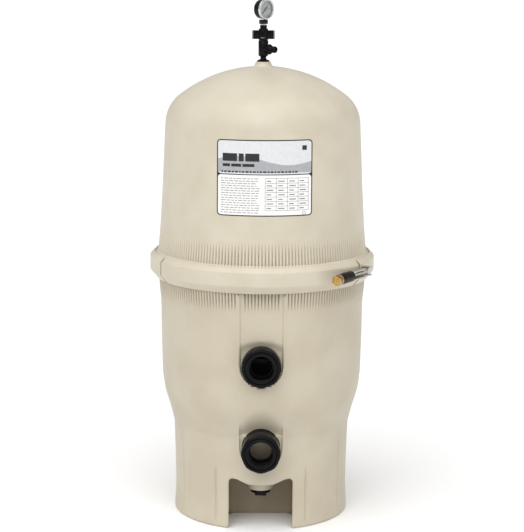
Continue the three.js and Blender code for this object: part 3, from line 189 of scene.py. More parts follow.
def turned(outline, place=Matrix(), steps=96, sweep=360.0, startTurn=0.0):
    # spins an outline of (radius, height) round Z
    bm = bmesh.new()
    first = Matrix.Rotation(math.radians(startTurn), 3, "Z")
    verts = [bm.verts.new(first @ Vector((r * mm, 0, z * mm))) for r, z in outline]
    endsOnAxis = outline[0][0] == 0 and outline[-1][0] == 0
    edges = [bm.edges.new((verts[i - 1], verts[i])) for i in range(1 if endsOnAxis else 0, len(verts))]
    bmesh.ops.spin(bm, geom=verts + edges, cent=(0, 0, 0), axis=(0, 0, 1), dvec=(0, 0, 0),
                   angle=math.radians(sweep), steps=steps, use_merge=sweep >= 360, use_duplicate=False)
    bmesh.ops.remove_doubles(bm, verts=bm.verts, dist=0.000005)
    if sweep < 360:
        bmesh.ops.holes_fill(bm, edges=[e for e in bm.edges if e.is_boundary], sides=0)
    bmesh.ops.recalc_face_normals(bm, faces=bm.faces)
    bm.transform(place)
    return bm


def raised(points, low, high, place=Matrix()):
    # a flat outline of (x, y) raised along Z
    bm = bmesh.new()
    face = bm.faces.new([bm.verts.new((x * mm, y * mm, low * mm)) for x, y in points])
    top = bmesh.ops.extrude_face_region(bm, geom=[face])
    bmesh.ops.translate(bm, vec=(0, 0, (high - low) * mm),
                        verts=[v for v in top["geom"] if isinstance(v, bmesh.types.BMVert)])
    bmesh.ops.recalc_face_normals(bm, faces=bm.faces)
    bm.transform(place)
    return bm


def ringOutline(radius, count, turn=0.0):
    return [(radius * math.cos(math.radians(turn) + 2 * math.pi * i / count),
             radius * math.sin(math.radians(turn) + 2 * math.pi * i / count)) for i in range(count)]


def squareOutline(halfX, halfY):
    return [(-halfX, -halfY), (halfX, -halfY), (halfX, halfY), (-halfX, halfY)]


def roundEdges(bm, width, segments=2, sharperThan=35):
    sharp = [e for e in bm.edges if len(e.link_faces) == 2
             and e.calc_face_angle(0) > math.radians(sharperThan)]
    bmesh.ops.bevel(bm, geom=sharp, offset=width * mm, offset_type="OFFSET", segments=segments,
                    profile=0.5, affect="EDGES", material=-1, clamp_overlap=True)
    return bm


def joined(*parts):
    bm = bmesh.new()
    for part in parts:
        mesh = bpy.data.meshes.new("joining")
        part.to_mesh(mesh)
        part.free()
        bm.from_mesh(mesh)
        bpy.data.meshes.remove(mesh)
    return bm


def makePiece(name, bm, material, body, replaced=(), smoothAngle=35):
    mesh = bpy.data.meshes.new(name)
    bm.to_mesh(mesh)
    bm.free()
    mesh.polygons.foreach_set("use_smooth", [True] * len(mesh.polygons))
    mesh.set_sharp_from_angle(angle=math.radians(smoothAngle))
    mesh.materials.append(material)
    piece = bpy.data.objects.new(name, mesh)
    bpy.context.scene.collection.objects.link(piece)
    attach(piece, body)
    if replaced:
        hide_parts(*replaced)
    return piece


def applyBoolean(bm, cutter, operation="DIFFERENCE"):
    # cuts one closed mesh with another and gives the result back as a bmesh
    objects = []
    for part in (bm, cutter):
        mesh = bpy.data.meshes.new("cutting")
        bmesh.ops.recalc_face_normals(part, faces=part.faces)
        part.to_mesh(mesh)
        part.free()
        thing = bpy.data.objects.new("cutting", mesh)
        bpy.context.scene.collection.objects.link(thing)
        objects.append(thing)
    cut = objects[0].modifiers.new("cut", "BOOLEAN")
    cut.object = objects[1]
    cut.operation = operation
    cut.solver = "EXACT"
    result = bpy.data.meshes.new_from_object(
        objects[0].evaluated_get(bpy.context.evaluated_depsgraph_get()))
    out = bmesh.new()
    out.from_mesh(result)
    for thing in objects:
        mesh = thing.data
        bpy.data.objects.remove(thing)
        bpy.data.meshes.remove(mesh)
    bpy.data.meshes.remove(result)
    return out


def radiusAt(height, table):
    # smooth curve through (height, radius) pairs
    if height <= table[0][0]:
        return table[0][1]
    for i in range(1, len(table)):
        if height <= table[i][0]:
            break
    else:
        return table[-1][1]
    (z0, r0), (z1, r1) = table[i - 1], table[i]
    before = table[max(0, i - 2)]
    after = table[min(len(table) - 1, i + 1)]
    slope0 = (r1 - before[1]) / max(1e-6, z1 - before[0])
    slope1 = (after[1] - r0) / max(1e-6, after[0] - z0)
    span = z1 - z0
    t = (height - z0) / span
    return ((2 * t ** 3 - 3 * t ** 2 + 1) * r0 + (t ** 3 - 2 * t ** 2 + t) * span * slope0
            + (3 * t ** 2 - 2 * t ** 3) * r1 + (t ** 3 - t ** 2) * span * slope1)


def heights(low, high, step):
    count = max(1, round((high - low) / step))
    return [low + (high - low) * i / count for i in range(count + 1)]


# camera, floor and lights

view = {"place": (0, -4.507, 1.448), "pitch": 79.81, "roll": 0.36, "lens": 119.87}
cameraData = bpy.data.cameras.new("camera")
cameraData.lens = view["lens"]
cameraData.clip_end = 200
camera = bpy.data.objects.new("camera", cameraData)
camera.matrix_world = (Matrix.Translation(view["place"])
                       @ Matrix.Rotation(math.radians(view["pitch"]), 4, "X")
                       @ Matrix.Rotation(math.radians(view["roll"]), 4, "Z"))
bpy.context.scene.collection.objects.link(camera)
bpy.context.scene.camera = camera
bpy.context.scene.view_settings.view_transform = "Standard"

studio = {"world": 0.5, "floor": "#FCFCFC", "floorSize": 70.0, "sun": 2.3, "sunSpread": 75.0}
world = bpy.data.worlds.new("studio")
bpy.context.scene.world = world
world.use_nodes = True
world.node_tree.nodes["Background"].inputs[0].default_value = (1, 1, 1, 1)
world.node_tree.nodes["Background"].inputs[1].default_value = studio["world"]

lamps = {
    # name: (place, size, watts)
    "keyLamp": ((-1.6, -3.4, 2.6), 1.4, 5),
    "fillLamp": ((2.6, -2.6, 1.8), 1.4, 6),
}
for name, (place, size, watts) in lamps.items():
    lampData = bpy.data.lights.new(name, "AREA")
    lampData.shape = "DISK"
    lampData.size = size
    lampData.energy = watts
    lamp = bpy.data.objects.new(name, lampData)
    aim = (Vector((0, 0, 0.65)) - Vector(place)).to_track_quat("-Z", "Y")
    lamp.matrix_world = Matrix.Translation(place) @ aim.to_matrix().to_4x4()
    bpy.context.scene.collection.objects.link(lamp)

sunData = bpy.data.lights.new("softSun", "SUN")
sunData.energy = studio["sun"]
sunData.angle = math.radians(studio["sunSpread"])
sun = bpy.data.objects.new("softSun", sunData)
sun.matrix_world = Matrix.Rotation(math.radians(-14), 4, "Z") @ Matrix.Rotation(math.radians(30), 4, "X")
bpy.context.scene.collection.objects.link(sun)

floorMesh = bpy.data.meshes.new("floor")
floorBm = bmesh.new()
bmesh.ops.create_grid(floorBm, x_segments=1, y_segments=1, size=studio["floorSize"])
floorBm.to_mesh(floorMesh)
floorBm.free()
floor = bpy.data.objects.new("floor", floorMesh)
# matt white studio paper
floorMesh.materials.append(makeMaterial("studioPaper", {
    "colour": studio["floor"], "shade": studio["floor"], "cloudSize": 500, "grainSize": 4,
    "grainDepth": 0.001, "roughness": 0.9, "roughSpread": 0.02, "shader": {"Specular IOR Level": 0.0}}))
bpy.context.scene.collection.objects.link(floor)
print("camera, lights and floor placed")


# tank sizes shared by the two halves

tank = {"parting": 653.5, "gap": 0.15, "wall": 8.0, "neck": 267.0, "flange": 280.0,
        "columns": 600, "ribEvery": 3, "ribDepth": 5.4}
lowerSkin = [(0, 224.6), (6, 225.6), (14, 225.2), (40, 223.4), (67, 222.5), (122, 223.4), (176, 224.6),
             (222, 226.2), (236, 227.2), (245, 229.2), (253, 231.5), (268, 235.2), (285, 240.0), (301, 245.0),
             (317, 249.6), (333, 252.6), (349, 254.8), (366, 256.6), (392, 257.3), (446, 258.9),
             (499, 259.7), (552, 260.4), (578, 262.8), (604, 264.9), (621.9, 267.0)]
lidSkin = [(685.1, 267.2), (698, 266.0), (719, 263.8), (761, 260.8), (812, 257.8), (864, 254.8),
           (915, 252.8), (966, 250.3), (1006, 248.4)]


def bowlRadius(height):
    # the lower tank's bowl: its skin's radius at a height between its lowest point and its top
    depth = min(1.0, max(0.0, (351 - height) / 280))
    return 256 * (1 - depth ** 1.25) ** (1 / 3.23)


def shapeRibs(bm, insideRadius, ribDepthAt, channelHalf=0.0, floorReach=0.0):
    # every third column is the floor of a groove, and its neighbours close in on it
    step = 2 * math.pi / tank["columns"]
    for v in bm.verts:
        x, y, z = v.co / mm
        radius = math.hypot(x, y)
        depth = ribDepthAt(z)
        onFloor = y < 0 and abs(x) < channelHalf - 10 and -y > floorReach - 4
        if depth <= 0 or (radius < insideRadius(z) and not onFloor):
            continue
        if channelHalf and y < 0 and abs(x) < channelHalf and not onFloor:
            continue
        column = round(math.atan2(y, x) / step)
        kind = column % tank["ribEvery"]
        if kind == 0:
            v.co = v.co * ((radius - depth) / radius)
            v.co.z = z * mm
        else:
            shift = math.radians(-0.18 if kind == 1 else 0.18)
            v.co.rotate(Matrix.Rotation(shift, 3, "Z"))


# lower tank

ports = {
    "outlet": {"height": 433.0, "seat": 245.0, "rise": 42.0, "dome": 10.0, "steep": 1.6, "ridgeTop": 700.0},
    "inlet": {"height": 215.6, "seat": 218.0, "rise": 41.0, "dome": 15.0, "steep": 1.5, "ridgeTop": 290.0},
}
base = {"half": 82.0, "mouthTop": 131.0, "corner": 11.0, "lobeHalf": 32.0, "lobeBottom": 116.0,
        "lobeSide": 117.5, "back": 85.0, "backCorner": 20.0, "wall": 5.0, "drainReach": 125.0,
        "bossRadius": 32.0, "bossBottom": 82.0, "bore": 20.0, "channelReach": 254.4, "channelTop": 660.0,
        "recessHalf": 53.5, "grooveDepth": 4.6, "grooveHalf": 5.2, "edgeRound": 4.2, "footRound": 9.0,
        "grooves": ((31, 165), (63, 215), (93, 240), (124, 240), (156, 240)), "grooveFade": 22,
        "holeRadius": 38.4, "softHalf": 96, "softTop": 142, "bowlLift": 5, "bowlThickness": 7}


recess = {"fadeInside": 2.6, "fadeOutside": 1.4, "flatBend": 6, "channelFade": 8, "channelEnd": 6,
          "channelOpen": 20, "edge": 7, "rimOffset": 1.8, "rimHalf": 3.4, "rimHeight": 2.4, "ridgeFade": 22}


def portLimit(x, z):
    # how far out the skin may stand in front, where a recess or the flat over the outlet is
    limits = []
    for port in ports.values():
        centre, seat = port["height"], port["seat"]
        reach = math.hypot(x, min(0.0, z - centre))
        inside = 1 - smoothStep(base["recessHalf"] - recess["fadeInside"],
                                base["recessHalf"] + recess["fadeOutside"], reach)
        if inside <= 0:
            continue
        over = max(0.0, z - centre - port["rise"] + port["dome"] * (x / base["recessHalf"]) ** 2)
        flat = seat + over * over / (over + recess["flatBend"]) / port["steep"]
        if port["seat"] == ports["outlet"]["seat"]:
            flat = min(flat, base["channelReach"])
            fadeStart = base["channelTop"] - recess["channelFade"]
            fadeEnd = base["channelTop"] + recess["channelEnd"]
            if z > fadeStart:
                flat += recess["channelOpen"] * smoothStep(fadeStart, fadeEnd, z)
        limits.append((flat, inside))
    return limits


def lowerShell():
    parting, gap, wall = tank["parting"], tank["gap"], tank["wall"]
    outer = [(221.8, 0.4), (223.6, 1.2), (224.6, 2.6)]
    outer += [(radiusAt(z, lowerSkin), z) for z in
              [4, 6, 9, 13, 20, 40, 67, 90, 108, 114, 119, 123, 127, 131] + heights(136, 340, 5.1)
              + heights(346, 366, 5) + heights(370, 552, 5.2) + heights(556, 621.9, 4.1)]
    outer += [(tank["flange"], 634.9), (tank["flange"], parting - gap - 0.6),
              (tank["flange"] - 0.6, parting - gap)]
    inner = [(tank["neck"] - wall, parting - gap), (tank["neck"] - wall, 630)]
    inner += [(radiusAt(z, lowerSkin) - wall - max(0, z - 552) * 0.07, z) for z in
              [615, 590, 560, 520, 480, 440, 410, 380, 360]]
    inner += [(radiusAt(z, lowerSkin) - 6.5, z) for z in [340, 325, 310, 295, 280, 265, 250]]
    inner += [(radiusAt(z, lowerSkin) - base["wall"], z) for z in [240, 225, 200, 160, 131, 80, 30]]
    inner += [(radiusAt(20, lowerSkin) - base["wall"], 6), (219, 0.4)]
    bm = turned(outer + inner, steps=tank["columns"])
    # recesses, the flat over the outlet, and the skirt's grooves
    for v in bm.verts:
        x, y, z = v.co / mm
        radius = math.hypot(x, y)
        skin = radiusAt(z, lowerSkin) if z < 622 else 999
        isOuter = radius > skin - 3
        if y < 0 and abs(x) < 60 and 150 < z < 623:
            target = -y
            for flat, inside in portLimit(x, z):
                allowed = flat if isOuter else flat - wall
                # a soft edge of a few millimetres where the two meet
                edge = max(0.0, recess["edge"] - abs(target - allowed)) / recess["edge"]
                wanted = min(target, allowed) - edge * edge * recess["edge"] / 4
                target += (wanted - target) * inside
            # a raised rim round each recess
            if isOuter:
                for port in ports.values():
                    reach = math.hypot(x, min(0.0, z - port["height"]))
                    near = abs(reach - base["recessHalf"] - recess["rimOffset"])
                    if near < recess["rimHalf"]:
                        fade = 1 - smoothStep(port["ridgeTop"] - recess["ridgeFade"], port["ridgeTop"], z)
                        target += recess["rimHeight"] * (1 - near / recess["rimHalf"]) * fade
            v.co.y = -target * mm
        if isOuter and 15 < z < 245:
            fromFront = math.degrees(math.atan2(x, -y))
            for angle, top in base["grooves"]:
                off = abs(abs(fromFront) - angle) * math.pi / 180 * radius
                if off < base["grooveHalf"]:
                    depth = (base["grooveDepth"] * (1 - off / base["grooveHalf"]) ** 1.3
                             * (1 - smoothStep(top - base["grooveFade"], top, z)))
                    v.co.x -= x / radius * depth * mm
                    v.co.y -= y / radius * depth * mm
    shapeRibs(bm, lambda z: radiusAt(z, lowerSkin) - 2.5 if z < 623 else 999,
              lambda z: tank["ribDepth"] * smoothStep(555, 606, z) if z < 622.5 else 0.0,
              channelHalf=base["recessHalf"] + 4.5, floorReach=base["channelReach"])
    bmesh.ops.recalc_face_normals(bm, faces=bm.faces)
    return bm


def mouthOutline(grow=0.0):
    half, top, corner = base["half"] + grow, base["mouthTop"] + grow, base["corner"] + grow
    side = [(half - corner + corner * math.cos(a), top - corner + corner * math.sin(a))
            for a in [math.radians(d) for d in range(0, 91, 15)]]
    side += [(63.0, top - 0.6), (base["lobeHalf"] + 6, base["lobeSide"] + 2.6 + grow),
             (base["lobeHalf"], base["lobeSide"] + grow), (18, base["lobeBottom"] + 0.5 + grow)]
    right = [(half, -4)] + side
    left = [(-x, z) for x, z in reversed(right)]
    return right + [(0, base["lobeBottom"] + grow)] + left


def pocketCutter(grow=0.0, front=300.0):
    # the mouth's outline carried back to the pocket's rear wall, which has round corners
    half, back, corner = base["half"] + grow, base["back"] - grow, base["backCorner"]
    arc = [math.radians(d) for d in range(0, 91, 15)]
    plan = [(half - corner + corner * math.cos(a), -back - corner + corner * math.sin(a)) for a in arc]
    plan = [(half, -front)] + plan + [(-x, y) for x, y in reversed(plan)] + [(-half, -front)]
    prism = raised(mouthOutline(grow), back - 20, front + 20, Matrix.Rotation(math.radians(90), 4, "X"))
    return applyBoolean(raised(plan, -8, 160), prism, "INTERSECT")


def mouthDistance(x, z):
    # how far a place on the skin is from the mouth's outline
    points = mouthOutline()
    nearest = 99.0
    for (x0, z0), (x1, z1) in zip(points, points[1:]):
        span = (x1 - x0) ** 2 + (z1 - z0) ** 2
        t = min(1.0, max(0.0, ((x - x0) * (x1 - x0) + (z - z0) * (z1 - z0)) / span))
        nearest = min(nearest, math.hypot(x - x0 - t * (x1 - x0), z - z0 - t * (z1 - z0)))
    return nearest


def softenMouth(bm):
    # rounds the skin into the mouth, and the feet's corners beside it
    edge, foot = base["edgeRound"], base["footRound"]
    for v in bm.verts:
        x, y, z = v.co / mm
        if y > 0 or abs(x) > base["softHalf"] or z > base["softTop"]:
            continue
        radius = math.hypot(x, y)
        if radius > radiusAt(max(z, 0.5), lowerSkin) - 1.6:
            near = mouthDistance(x, z)
            if near < edge:
                dip = edge - math.sqrt(edge ** 2 - (edge - near) ** 2)
                v.co.x -= x / radius * dip * mm
                v.co.y -= y / radius * dip * mm
        inward = foot - (abs(x) - base["half"])
        if 0 < inward <= foot + 6 and z < foot:
            lift = foot - math.sqrt(max(0.0, foot ** 2 - min(inward, foot) ** 2))
            v.co.z = max(z, lift) * mm
    return bm


hole = base["holeRadius"]
portHoles = [turned([(0, 120), (hole, 120), (hole, 300), (0, 300)], outwardPlace(0, port["height"]), 96)
             for port in ports.values()]
shell = applyBoolean(lowerShell(), joined(pocketCutter(), *portHoles))
makePiece("lowerTankShell", softenMouth(shell), materials["tank_plastic"], "root",
          ("lower_tank",), smoothAngle=28)

# the pocket's walls and roof, inside the skirt
pocketBlock = applyBoolean(pocketCutter(base["wall"], 240.0), pocketCutter())
skirtCore = turned([(0, 1.0), (219.6, 1.0), (219.6, 140), (0, 140)], steps=192)
pocketWalls = softenMouth(applyBoolean(pocketBlock, skirtCore, "INTERSECT"))
# the pocket's walls take the darker colour, painted shade inside the pocket
makePiece("drainPocketWalls", pocketWalls, pocketPaintedShade, "root")

# the bowl under the tank, seen from below and behind the pocket's roof
bowlPoints = [(bowlRadius(z), z) for z in [71, 72, 74, 78, 84, 92, 104, 120, 145, 175, 210, 245]]
bowlPoints[0] = (0, 71)
bowlInside = [(max(0, r - base["bowlThickness"]), z + base["bowlLift"]) for r, z in reversed(bowlPoints)]
bowlInside[-1] = (0, 79)
bowlBm = turned(bowlPoints + bowlInside, steps=120)
bowlBm = applyBoolean(bowlBm, pocketCutter(2.0, 260.0))
makePiece("lowerTankBowl", bowlBm, materials["tank_plastic"], "root")

drainBoss = turned([(base["bore"] + 0.3, 82), (base["bossRadius"] - 2, 82), (base["bossRadius"], 84),
                    (base["bossRadius"], 121), (base["bore"] + 0.3, 121)],
                   Matrix.Translation((0, -base["drainReach"] * mm, 0)), 64)
makePiece("drainBoss", roundEdges(drainBoss, 0.8), materials["lid_plastic"], "root")
print("lower tank made")


# lid

def lidShell():
    parting, gap, wall = tank["parting"], tank["gap"], tank["wall"]
    centreX, centreZ, knuckle = 154.4, 1006.0, 94.0
    crown, crownZ, meeting = 344.2, 808.8, 51.9
    outer = [(tank["flange"] - 0.6, parting + gap), (tank["flange"], parting + gap + 0.6),
             (tank["flange"], 672.1)]
    outer += [(radiusAt(z, lidSkin), z) for z in heights(685.1, 760, 4.2) + heights(768, 1003, 9.5)]
    angles = heights(0, meeting, 4)
    outer += [(centreX + knuckle * math.cos(math.radians(a)), centreZ + knuckle * math.sin(math.radians(a)))
              for a in angles]
    crownAngles = heights(meeting, 85.2, 3.0)[1:]
    outer += [(crown * math.cos(math.radians(a)), crownZ + crown * math.sin(math.radians(a)))
              for a in crownAngles]
    outer += [(25.2, 1152.8), (22.6, 1154.6), (20.8, 1157.4), (20.2, 1160), (20, 1161.6), (19.2, 1163.2),
              (17.6, 1164), (8.2, 1164)]
    inner = [(8.2, 1146)]
    inner += [((crown - wall) * math.cos(math.radians(a)),
               crownZ + (crown - wall) * math.sin(math.radians(a))) for a in (86, 80, 74, 68, 60)]
    inner += [(centreX + (knuckle - wall) * math.cos(math.radians(a)),
               centreZ + (knuckle - wall) * math.sin(math.radians(a))) for a in (50, 35, 20, 5)]
    inner += [(radiusAt(z, lidSkin) - wall, z) for z in [990, 930, 870, 810, 760, 720, 700]]
    inner += [(259.2, 690), (259.2, parting + gap)]
    bm = turned(outer + inner, steps=tank["columns"])
    shapeRibs(bm, lambda z: radiusAt(z, lidSkin) - 2.5,
              lambda z: 4.4 * (1 - smoothStep(700, 757, z)) if 684 < z < 760 else 0.0)
    bmesh.ops.recalc_face_normals(bm, faces=bm.faces)
    return bm


makePiece("lidShell", lidShell(), materials["lid_plastic"], "root", ("lid",), smoothAngle=28)
print("lid made")


# label

label = {"left": -111.0, "right": 121.0, "bottom": 806.0, "top": 991.0, "corner": 9.0, "border": 2.6,
         "split": 907.0, "lift": 0.15}


def wrapOnLid(bm, lift):
    # X is the way round the lid, Z the height, Y the distance over the skin
    for v in bm.verts:
        x, y, z = v.co / mm
        radius = radiusAt(z, lidSkin) + lift - y
        angle = math.asin(x / radius)
        v.co = Vector((radius * math.sin(angle), -radius * math.cos(angle), z)) * mm
    bmesh.ops.recalc_face_normals(bm, faces=bm.faces)
    return bm


def flatPatch(x0, x1, z0, z1, lift, thickness=0.25, columns=4, rows=1, corner=0.0, edge=None):
    # a thin sheet in the label's flat frame, as columns by rows quads
    bm = bmesh.new()
    bmesh.ops.create_grid(bm, x_segments=columns, y_segments=rows, size=0.5)
    for v in bm.verts:
        u, w = v.co.x + 0.5, v.co.y + 0.5
        x, z = x0 + (x1 - x0) * u, z0 + (z1 - z0) * w
        if corner:
            middleX, middleZ = (x0 + x1) / 2, (z0 + z1) / 2
            outX = abs(x - middleX) - ((x1 - x0) / 2 - corner)
            outZ = abs(z - middleZ) - ((z1 - z0) / 2 - corner)
            if outX > 0 and outZ > 0:
                shrink = max(outX, outZ) / math.hypot(outX, outZ)
                x -= math.copysign(outX * (1 - shrink), x - middleX)
                z -= math.copysign(outZ * (1 - shrink), z - middleZ)
        if edge:
            x, z = edge(x, w)
        v.co = Vector((x, 0, z)) * mm
    front = bmesh.ops.extrude_face_region(bm, geom=bm.faces[:])
    bmesh.ops.translate(bm, vec=(0, -thickness * mm, 0),
                        verts=[v for v in front["geom"] if isinstance(v, bmesh.types.BMVert)])
    return wrapOnLid(bm, lift)


def labelPieces():
    left, right, bottom, top = label["left"], label["right"], label["bottom"], label["top"]
    border, split, lift = label["border"], label["split"], label["lift"]
    plate = flatPatch(left, right, bottom, top, lift, 0.35, 64, 50, label["corner"])
    makePiece("labelBorder", plate, blackInk, "root", ("label_plate",))
    upper = flatPatch(left + border, right - border, split + 1.2, top - border, lift + 0.3, 0.2, 64, 26, 7)
    makePiece("labelUpper", upper, paleInk, "root")
    lower = flatPatch(left + border, right - border, bottom + border, split - 1.2, lift + 0.3, 0.2, 64, 26, 7)
    makePiece("labelLower", lower, materials["label_film"], "root")

    def wave(x, w):
        t = (x - left) / (right - left)
        crest = split + 34 + 11 * math.sin(2 * math.pi * (t * 0.95 + 0.03))
        trough = split + 5
        return x, trough + (crest - trough) * w

    band = flatPatch(left + border, right - border, 0, 1, lift + 0.45, 0.1, 80, 1, edge=wave)
    makePiece("labelWave", band, greyInk, "root")
    ink = lift + 0.55
    dark, words, lines = [], [], []
    # title block, two rows of bold word shapes
    for x0, x1, z0, z1 in ((-97, -62, 939, 958), (-58, -46, 939, 958), (-42, -8, 939, 958),
                           (-97, -79, 926, 933), (-76, -52, 926, 933), (-49, -20, 926, 933),
                           (96, 107, 966, 977)):
        dark.append(flatPatch(x0, x1, z0, z1, ink, 0.12, 6, 1))
    # bold line over the divider
    x = -100.0
    for i in range(22):
        width = 4.2 + 3.6 * ((i * 7) % 5) / 4
        dark.append(flatPatch(x, x + width, 911.5, 915.5, ink, 0.12, 2, 1))
        x += width + 2.6
    # small print lines on the left of the lower part
    for row in range(15):
        z = 898 - row * 5.9
        x = -101.0
        for i in range(9):
            width = 5 + 6.5 * ((i * 5 + row * 3) % 7) / 6
            if x + width > -6:
                break
            words.append(flatPatch(x, x + width, z - 1.7, z, ink, 0.1, 2, 1))
            x += width + 2.2
    # ruled tables on the right
    for z in (898, 886, 875, 864, 853, 842, 831, 820):
        lines.append(flatPatch(6, 112, z, z + 0.9, ink, 0.1, 24, 1))
    for x in (6, 33, 60, 86, 111.2):
        lines.append(flatPatch(x, x + 0.9, 820, 898.9, ink, 0.1, 1, 6))
    for row in range(7):
        z = 887.5 - row * 11 + 3
        for column, x in enumerate((10, 38, 65, 90)):
            width = 11 + 5 * ((row + column * 2) % 3) / 2
            words.append(flatPatch(x, x + width, z, z + 2.4, ink, 0.1, 3, 1))
    makePiece("labelBoldPrint", joined(*dark), blackInk, "root")
    makePiece("labelSmallPrint", joined(*words), textInk, "root")
    makePiece("labelTables", joined(*lines), textInk, "root")
    mark = turned([(3.2, 0), (4.2, 0), (4.2, 0.1), (3.2, 0.1)], steps=32)
    for v in mark.verts:
        v.co = Vector((v.co.x + 0.101, -v.co.z, v.co.y + 0.813))
    makePiece("labelRoundMark", wrapOnLid(mark, ink), textInk, "root")


labelPieces()
print("label made")


# clamp band

clamp = {"radius": 288.0, "face": 16.96, "lip": 11.3, "thickness": 4.0, "endGap": 9.0, "edgeRound": 1.1,
         "lowerLip": ((17, 20.5), (19.8, 18)), "joints": (("front", -62), ("right", 58), ("left", 178)),
         "segment": 120, "bolt": 303.0, "boltAngle": 58.0, "boltRadius": 4.0, "boltStart": -16.0,
         "boltEnd": 136.0, "pitch": 1.6, "nutAcross": 22, "nutBack": 133.0, "nutFront": 144.8,
         "nutBore": 4.25}


def bandSegment(start, end):
    parting, radius, face, lip = tank["parting"], clamp["radius"], clamp["face"], clamp["lip"]
    thick = clamp["thickness"]
    slant = thick / math.sqrt(2)
    inFace = face - thick * (math.sqrt(2) - 1)
    (lipX, lipZ), (tipX, tipZ) = clamp["lowerLip"]
    outline = [(radius - lip, parting + face + lip), (radius, parting + face), (radius, parting - face),
               (radius - lipX, parting - face - lipZ), (radius - tipX, parting - face - tipZ),
               (radius - thick, parting - inFace), (radius - thick, parting + inFace),
               (radius - lip - slant, parting + face + lip - slant)]
    half = math.degrees(clamp["endGap"] / 2 / radius)
    sweep = end - start - 2 * half
    bm = turned(outline, steps=round(sweep), sweep=sweep, startTurn=start + half - 90)
    return roundEdges(bm, clamp["edgeRound"], 3, 25)


for side, start in clamp["joints"]:
    makePiece(side + "ClampSegment", bandSegment(start, start + clamp["segment"]), materials["lid_plastic"],
              "root", ("clamp_" + side + "_segment",))

boltPlace = (outwardPlace(clamp["boltAngle"], tank["parting"])
             @ Matrix.Translation((0, 0, clamp["bolt"] * mm)) @ Matrix.Rotation(math.radians(-90), 4, "Y"))


def threadedShank(radius, start, end, pitch):
    # rings of thread stand for the helix, too fine to tell apart
    outline = [(0, start), (radius - 0.5, start)]
    z = start + 0.5
    while z + pitch < end:
        outline += [(radius - 0.55, z), (radius, z + pitch * 0.5), (radius - 0.55, z + pitch * 0.98)]
        z += pitch
    outline += [(radius - 0.8, end), (0, end)]
    return turned(outline, boltPlace, 28)


shank = threadedShank(clamp["boltRadius"], clamp["boltStart"], clamp["boltEnd"], clamp["pitch"])
makePiece("clampBoltShank", shank, materials["steel"], "root")
barrel = turned([(4.5, 70.4), (11.5, 70.4), (13.5, 72.4), (13.5, 127.6), (13.1, 128.6), (12.6, 129.2),
                 (11.2, 129.2), (11.2, 73), (4.5, 73)], boltPlace, 64)
makePiece("springBarrel", barrel, materials["dark_steel"], "clamp_spring_set",
          ("clamp_spring_barrel",))
washer = turned([(4.5, 129.7), (13.4, 129.7), (13.4, 132.5), (4.5, 132.5)], boltPlace, 64)
makePiece("clampWasher", roundEdges(washer, 0.5), materials["steel"], "clamp_spring_set",
          ("clamp_washer",))
hexPoints = ringOutline(clamp["nutAcross"] / math.sqrt(3), 6, 30)
nutBm = raised(hexPoints, clamp["nutBack"], clamp["nutFront"], boltPlace)
roundEdges(nutBm, 0.9, 3)
nutBore = raised(ringOutline(clamp["nutBore"], 32), 125, 150, boltPlace)
nutBm = applyBoolean(nutBm, nutBore)
makePiece("clampNut", nutBm, materials["brass"], "clamp_nut_body", ("clamp_nut",), 30)
print("clamp made")


# ports

union = {"flats": 8, "flatDepth": 1.3, "flatsFrom": 46, "flangeLift": 2.6, "flangeThickness": 5.4}


def octagonTurned(outline, place, steps=128):
    # a turned ring whose outside eases into eight soft flats
    bm = turned(outline, steps=steps)
    spacing = 360 / union["flats"]
    for v in bm.verts:
        radius = math.hypot(v.co.x, v.co.y) / mm
        if radius > union["flatsFrom"]:
            angle = math.atan2(v.co.y, v.co.x)
            fromFlat = (math.degrees(angle) % spacing) - spacing / 2
            dip = union["flatDepth"] * (0.5 + 0.5 * math.cos(math.radians(fromFlat * union["flats"])))
            v.co.x *= (radius - dip) / radius
            v.co.y *= (radius - dip) / radius
    bm.transform(place)
    return bm


for name, port in ports.items():
    place = outwardPlace(0, port["height"])
    seat = port["seat"]
    flangeBack = seat + union["flangeLift"]
    flangeFront = flangeBack + union["flangeThickness"]
    nut = octagonTurned([(44.2, 254.2), (48.6, 254.2), (49.5, 255.2), (49.5, 282.2), (49.1, 283.6),
                         (48.0, 284.7), (46.8, 285), (42.6, 285), (41.4, 284.4), (41.2, 283.2),
                         (41.2, 278.6), (44.2, 278.5)], place)
    makePiece(name + "UnionNut", nut, materials["black_plastic"], name + "_nut",
              (name + "_union_nut",))
    tail = turned([(26.5, 243.2), (35.5, 243.2), (35.5, 273.6), (43.0, 273.6), (43.0, 278.2), (40.0, 278.2),
                   (40.0, 282.6), (39.2, 283.7), (38.0, 284), (31.6, 284), (30.4, 283.2), (30.15, 282),
                   (30.15, 248), (26.5, 248)], place, 96)
    makePiece(name + "Tailpiece", tail, materials["black_plastic"], name + "_tail",
              (name + "_tailpiece",))
    hubFront = max(flangeFront, 253.6)
    flange = turned([(38.2, flangeBack), (48.5, flangeBack), (48.5, flangeFront - 0.8),
                     (47.7, flangeFront), (44.0, hubFront), (43.0, hubFront), (43.0, 271), (36, 271),
                     (36, flangeBack - 20), (33, flangeBack - 20), (33, flangeBack - 40),
                     (38.2, flangeBack - 40)], place, 96)
    makePiece(name + "Bulkhead", flange, materials["black_plastic"], "root",
              (name + "_bulkhead",))
print("ports made")


# drain plug

